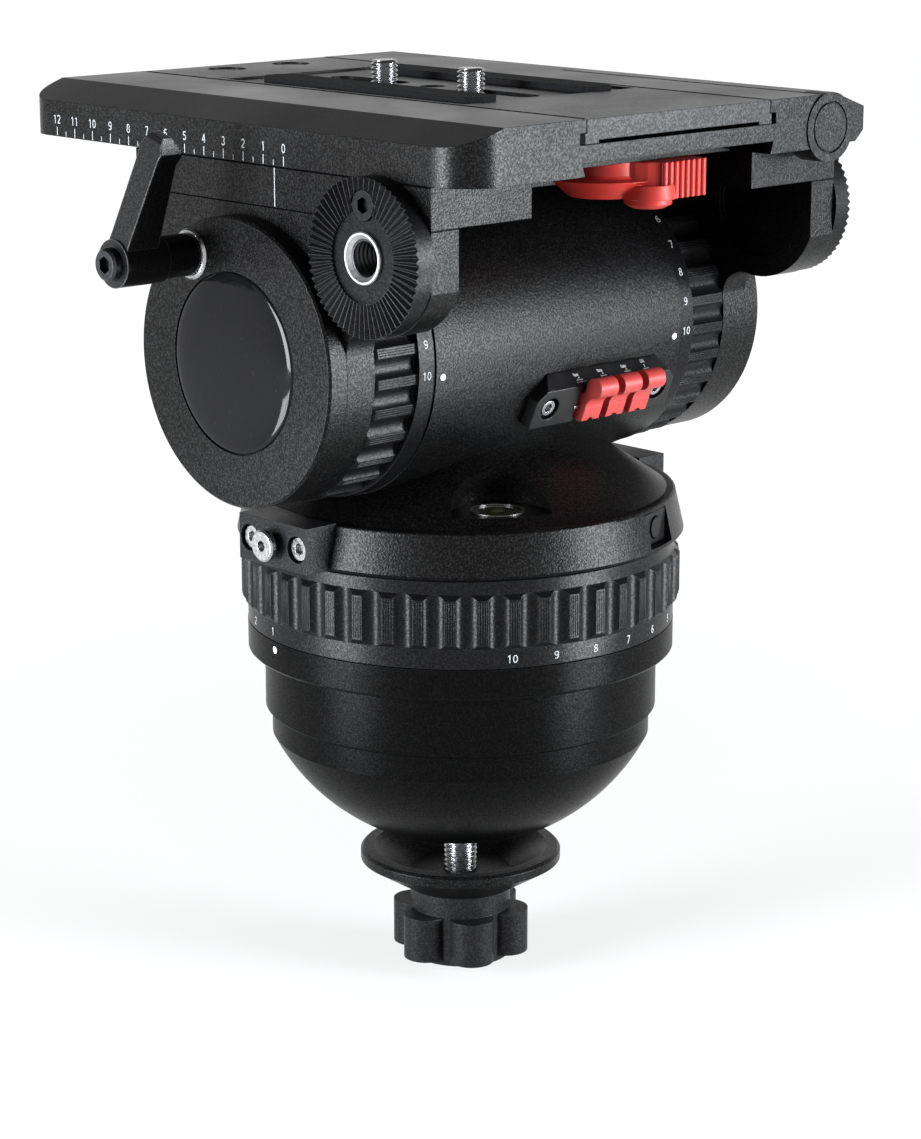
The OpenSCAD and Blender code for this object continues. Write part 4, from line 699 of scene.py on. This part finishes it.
def badge_rings(side):
    """Rings of a badge on the tilt axis: from its seat straight out to a lip, then in to the middle along a
    quarter of a superellipse, whose radius and rise go with a power of the cosine and the sine."""
    radius, rise, lip, power = 29.7 * MM, 2.55 * MM, 0.12, 0.62
    a = around(180)[None, :]
    s = np.linspace(0, 0.998 * np.pi / 2, 48)[:, None]
    r = radius * np.cos(s) ** power
    x = badge_seat + rise * (lip + (1 - lip) * np.sin(s) ** power)
    r, x = np.concatenate([r[:1], r]), np.concatenate([np.full((1, 1), badge_seat), x])
    return np.stack([side * x + 0 * a, r * np.cos(a), tilt_z + r * np.sin(a)], axis=-1)


badge_gloss = gloss("badge_gloss", (0.004, 0.004, 0.0045), 0.08)
for side, word in ((-1, "left"), (1, "right")):
    dome = skin(word + "_badge_dome", badge_rings(side)[None], badge_gloss, "tilt", sharp=50)
    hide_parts(word + "_badge")

# Pan bar rosettes. Toothed discs on the cheeks take the pan bars: hard-anodised teeth, a threaded steel
# insert in the hub and one cap screw among the teeth.
# The teeth's high edge setting paints highlights along their crests.
rosette_black = grained("rosette_black", (0.003, 0.003, 0.0033), 0.36, fleck=1.4, depth=0.01 * MM, wear_and_glint=0.6,
                        gloss=0.10, round_r=0.2 * MM)
insert_steel = bare_metal("insert_steel", (0.42, 0.42, 0.42), 0.45)
black_steel = bare_metal("black_steel", (0.016, 0.016, 0.017), 0.4)
dark_steel = bare_metal("dark_steel", (0.045, 0.045, 0.048), 0.34)
dress(rosette_black, "left_rosette", "right_rosette")
dress(insert_steel, "rosette_inserts")
dress(black_steel, "rosette_screws")


def insert_thread(side):
    """Rings of the thread in an insert: a V thread on the inside of a thin sleeve along the X axis, out to
    one side, and back along the sleeve's plain outside."""
    _, y, z = middle_of("left_rosette")
    mouth, bottom, sleeve, proud, depth = np.array([100.1, 87.6, 0.1, 0.02, 0.7]) * MM
    a = around(40)[None, :]
    x = np.linspace(mouth, bottom, 70)[:, None]
    inner = thread_radius(x, a, m12_r - proud, m12_pitch, depth)
    x, r = np.concatenate([x, x[::-1]]), np.concatenate([inner, m12_r + sleeve + 0 * inner])
    return np.stack([side * x + 0 * a, y + r * np.cos(a), z + r * np.sin(a)], axis=-1)


threads = np.stack([insert_thread(side) for side in (-1, 1)])
skin("insert_threads", threads, dark_steel, "tilt", tube=True, sharp=60)

# Tilt lock. A clamping lever of glass-filled plastic turns on a shaft in a bright bushing at the left cap,
# held by a screw with a hexagon socket; the bushing ends in a chamfered collar.
# The lever's high edge setting paints a highlight along its edges.
lever_black = grained("lever_black", (0.003, 0.003, 0.0033), 0.27, fleck=1.4, depth=0.02 * MM, wear_and_glint=0.35,
                      gloss=0.22, round_r=0.7 * MM)
dress(lever_black, "tilt_lock_lever")
dress(bright_steel, "tilt_lock_bushing")
lock_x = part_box("left_cap")[0][0]
_, lock_y, lock_z = middle_of("tilt_lock_bushing")
collar_out = np.array([[-0.1, 0.4, 1.15, 1.15, -0.1]]) * MM
collar_r = np.array([[8.45, 8.45, 7.75, 7.2, 7.2]]) * MM
a = around(48)[:, None]
collar = [lock_x - collar_out + 0 * a, lock_y + collar_r * np.cos(a), lock_z + collar_r * np.sin(a)]
skin("bushing_collar", np.stack(collar, axis=-1)[None], bright_steel, "tilt", tube=True)
dress(dark_steel, "tilt_lock_screw")

# Platform and slide lock. The platform bridges the cheeks and carries the dovetail rail; a red lever with a
# safety button under its tongue locks the sliding plate, and a pale line marks the scale.
red_plastic = moulded("red_plastic", (0.43, 0.024, 0.016), 0.42)
dress(cast_black, "tilt_platform")
dress(dark_steel, "platform_screws", "slide_lock_bolt")
dress(red_plastic, "slide_lock_lever", "slide_lock_button")
flank_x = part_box("tilt_platform")[1][0]


def on_flank(y, z, side=-1):
    """Place on the left or right flank: u runs to the rear, v up, w out to that side."""
    def place(u, v, w):
        return np.stack([side * (flank_x + w), y - u, z + v], axis=-1)
    return place


# Painted shade: black bars along the joints of the platform with the cheeks and with the sliding plate.
low_seam_z, high_seam_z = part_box("tilt_platform")[0][2], 208.13 * MM
seam_y, seam_half_y, seam_half_z = -14.25 * MM, 72.0 * MM, 0.21 * MM
seam_places = [on_flank(seam_y, z, side) for z in (low_seam_z, high_seam_z) for side in (-1, 1)]
skin("platform_seam_shade", bars(seam_places, seam_half_y, seam_half_z), painted_seam_shade, "tilt")
index_y, index_z, index_half_y, index_half_z = -13.5 * MM, 201.7 * MM, 0.18 * MM, 6.2 * MM
index_bar = bars([on_flank(index_y, index_z)], index_half_y, index_half_z)
skin("index_line", index_bar, pale_print, "tilt")

# Sliding plate. An extruded and milled plate with sloped shoulders; a centimetre scale is printed on its
# left flank, long ticks at each centimetre and short ones between.
slab_black = grained("slab_black", black, 0.34, depth=0.07 * MM, top=0.72, gloss=0.125)
dress(slab_black, "sliding_plate")
top_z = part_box("sliding_plate")[1][2]


def on_top(x, y):
    """Place on the top face: u runs to the right, v forwards, w up."""
    def place(u, v, w):
        return np.stack([x + u, y + v, top_z + w], axis=-1)
    return place


# Painted shade: black bars along the channel's edges on top, where the camera plate meets it.
lip_x, lip_y, lip_half_x, lip_half_y = 43.3 * MM, 9.2 * MM, 0.28 * MM, 110.4 * MM
lip_places = [on_top(side * lip_x, lip_y) for side in (-1, 1)]
skin("channel_edge_shade", bars(lip_places, lip_half_x, lip_half_y), painted_seam_shade, "slide")


def on_scale(steps, z):
    """Places on the left flank at some steps of the scale, of one centimetre each."""
    zero, step = -18.1, 10
    return [on_flank((zero + step * k) * MM, z) for k in steps]


whole, half = np.arange(13), np.arange(12) + 0.5
long_z, long_half_y, long_half_z = 210.3 * MM, 0.17 * MM, 1.5 * MM
short_z, short_half_y, short_half_z = 209.65 * MM, 0.14 * MM, 0.85 * MM
long_ticks = bars(on_scale(whole, long_z), long_half_y, long_half_z)
short_ticks = bars(on_scale(half, short_z), short_half_y, short_half_z)
skin("scale_ticks", long_ticks + short_ticks, pale_print, "slide")
scale_places, scale_height, scale_weight = on_scale(whole, 214.4 * MM), 3.0 * MM, 0.115
letters("scale_numbers", [str(k) for k in whole], scale_places, scale_height, pale_print, "slide",
        scale_weight)

# Plate clamp. A cast lever fills the plate's right flank behind a round barrel, and draws the steel jaw
# back from the camera plate.
dress(slab_black, "clamp_lever")
dress(dark_steel, "clamp_jaw")

# Camera plate. A milled plate slides into the channel; two rubber pads and two camera screws in slots hold
# the camera.
plate_black = grained("plate_black", (0.008, 0.0082, 0.009), 0.38, fleck=2.0, depth=0.03 * MM, gloss=0.16)
dress(plate_black, "camera_plate")
# Painted shade: black bars along the camera plate's edges, in the gaps beside the channel.
edge_x, edge_y, edge_half_x, edge_half_y = 42.25 * MM, 9.0 * MM, 0.4 * MM, 108.8 * MM
edge_places = [on_top(side * edge_x, edge_y) for side in (-1, 1)]
skin("plate_edge_shade", bars(edge_places, edge_half_x, edge_half_y), painted_seam_shade, "plate")
dress(bright_steel, "front_washer", "rear_washer")


def rubber(name, colour, rough):
    """Rubber: matt and dark, with a fine cross-hatched tread worked out from two sets of slanted waves."""
    finish, tree, shader, where = new_finish(name)
    grain = noise(tree, where, 1800)
    tread = grain
    for lean in (45, -45):
        slant = tree.nodes.new("ShaderNodeMapping")
        slant.inputs["Rotation"].default_value = (0, 0, math.radians(lean))
        wave = tree.nodes.new("ShaderNodeTexWave")
        wave.inputs["Scale"].default_value = 160
        tree.links.new(where, slant.inputs["Vector"])
        tree.links.new(slant.outputs["Vector"], wave.inputs["Vector"])
        groove = remap(tree, wave.outputs["Fac"], 0, 0.5, 0.4, 1)
        tread = combine(tree, "MULTIPLY", groove, remap(tree, tread, 0, 1, 0.5, 1))
    normal, _ = round_edges(tree, 0.4 * MM)
    dusty = blend(tree, remap(tree, grain, 0.45, 0.7, 0, 1), colour, shade(colour, 1.9))
    tree.links.new(dusty, shader.inputs["Base Color"])
    tree.links.new(remap(tree, grain, 0.3, 0.7, rough - 0.06, rough + 0.06), shader.inputs["Roughness"])
    tree.links.new(relief(tree, tread, 0.25 * MM, normal), shader.inputs["Normal"])
    shader.inputs["Specular IOR Level"].default_value = 0.1
    return finish


dress(rubber("pad_rubber", (0.011, 0.011, 0.012), 0.8), "grip_pads")
screw_low, screw_high = (corner[2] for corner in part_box("front_camera_screw"))
head_r, head_rise = np.array([[7.4, 7.4, 4.2], [0.0, 2.3, 2.35]])[:, :, None] * MM
a = around(40)[None, :]
screw_head = np.stack([head_r * np.cos(a), head_r * np.sin(a), screw_low + head_rise + 0 * a], axis=-1)
shank_r, shank_pitch, shank_low = 4.7625 * MM, 1.5875 * MM, screw_low + 2.4 * MM
shank = threaded_rod(shank_low, screw_high, shank_r, shank_pitch, depth=0.75 * MM, lead=1.0 * MM)
for word in ("front", "rear"):
    _, y, _ = middle_of(word + "_camera_screw")
    rings = np.concatenate([screw_head, shank]) + (0, y, 0)
    screw = skin(word + "_screw_thread", rings[None], bright_steel, word + "_screw", sharp=50)
    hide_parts(word + "_camera_screw")
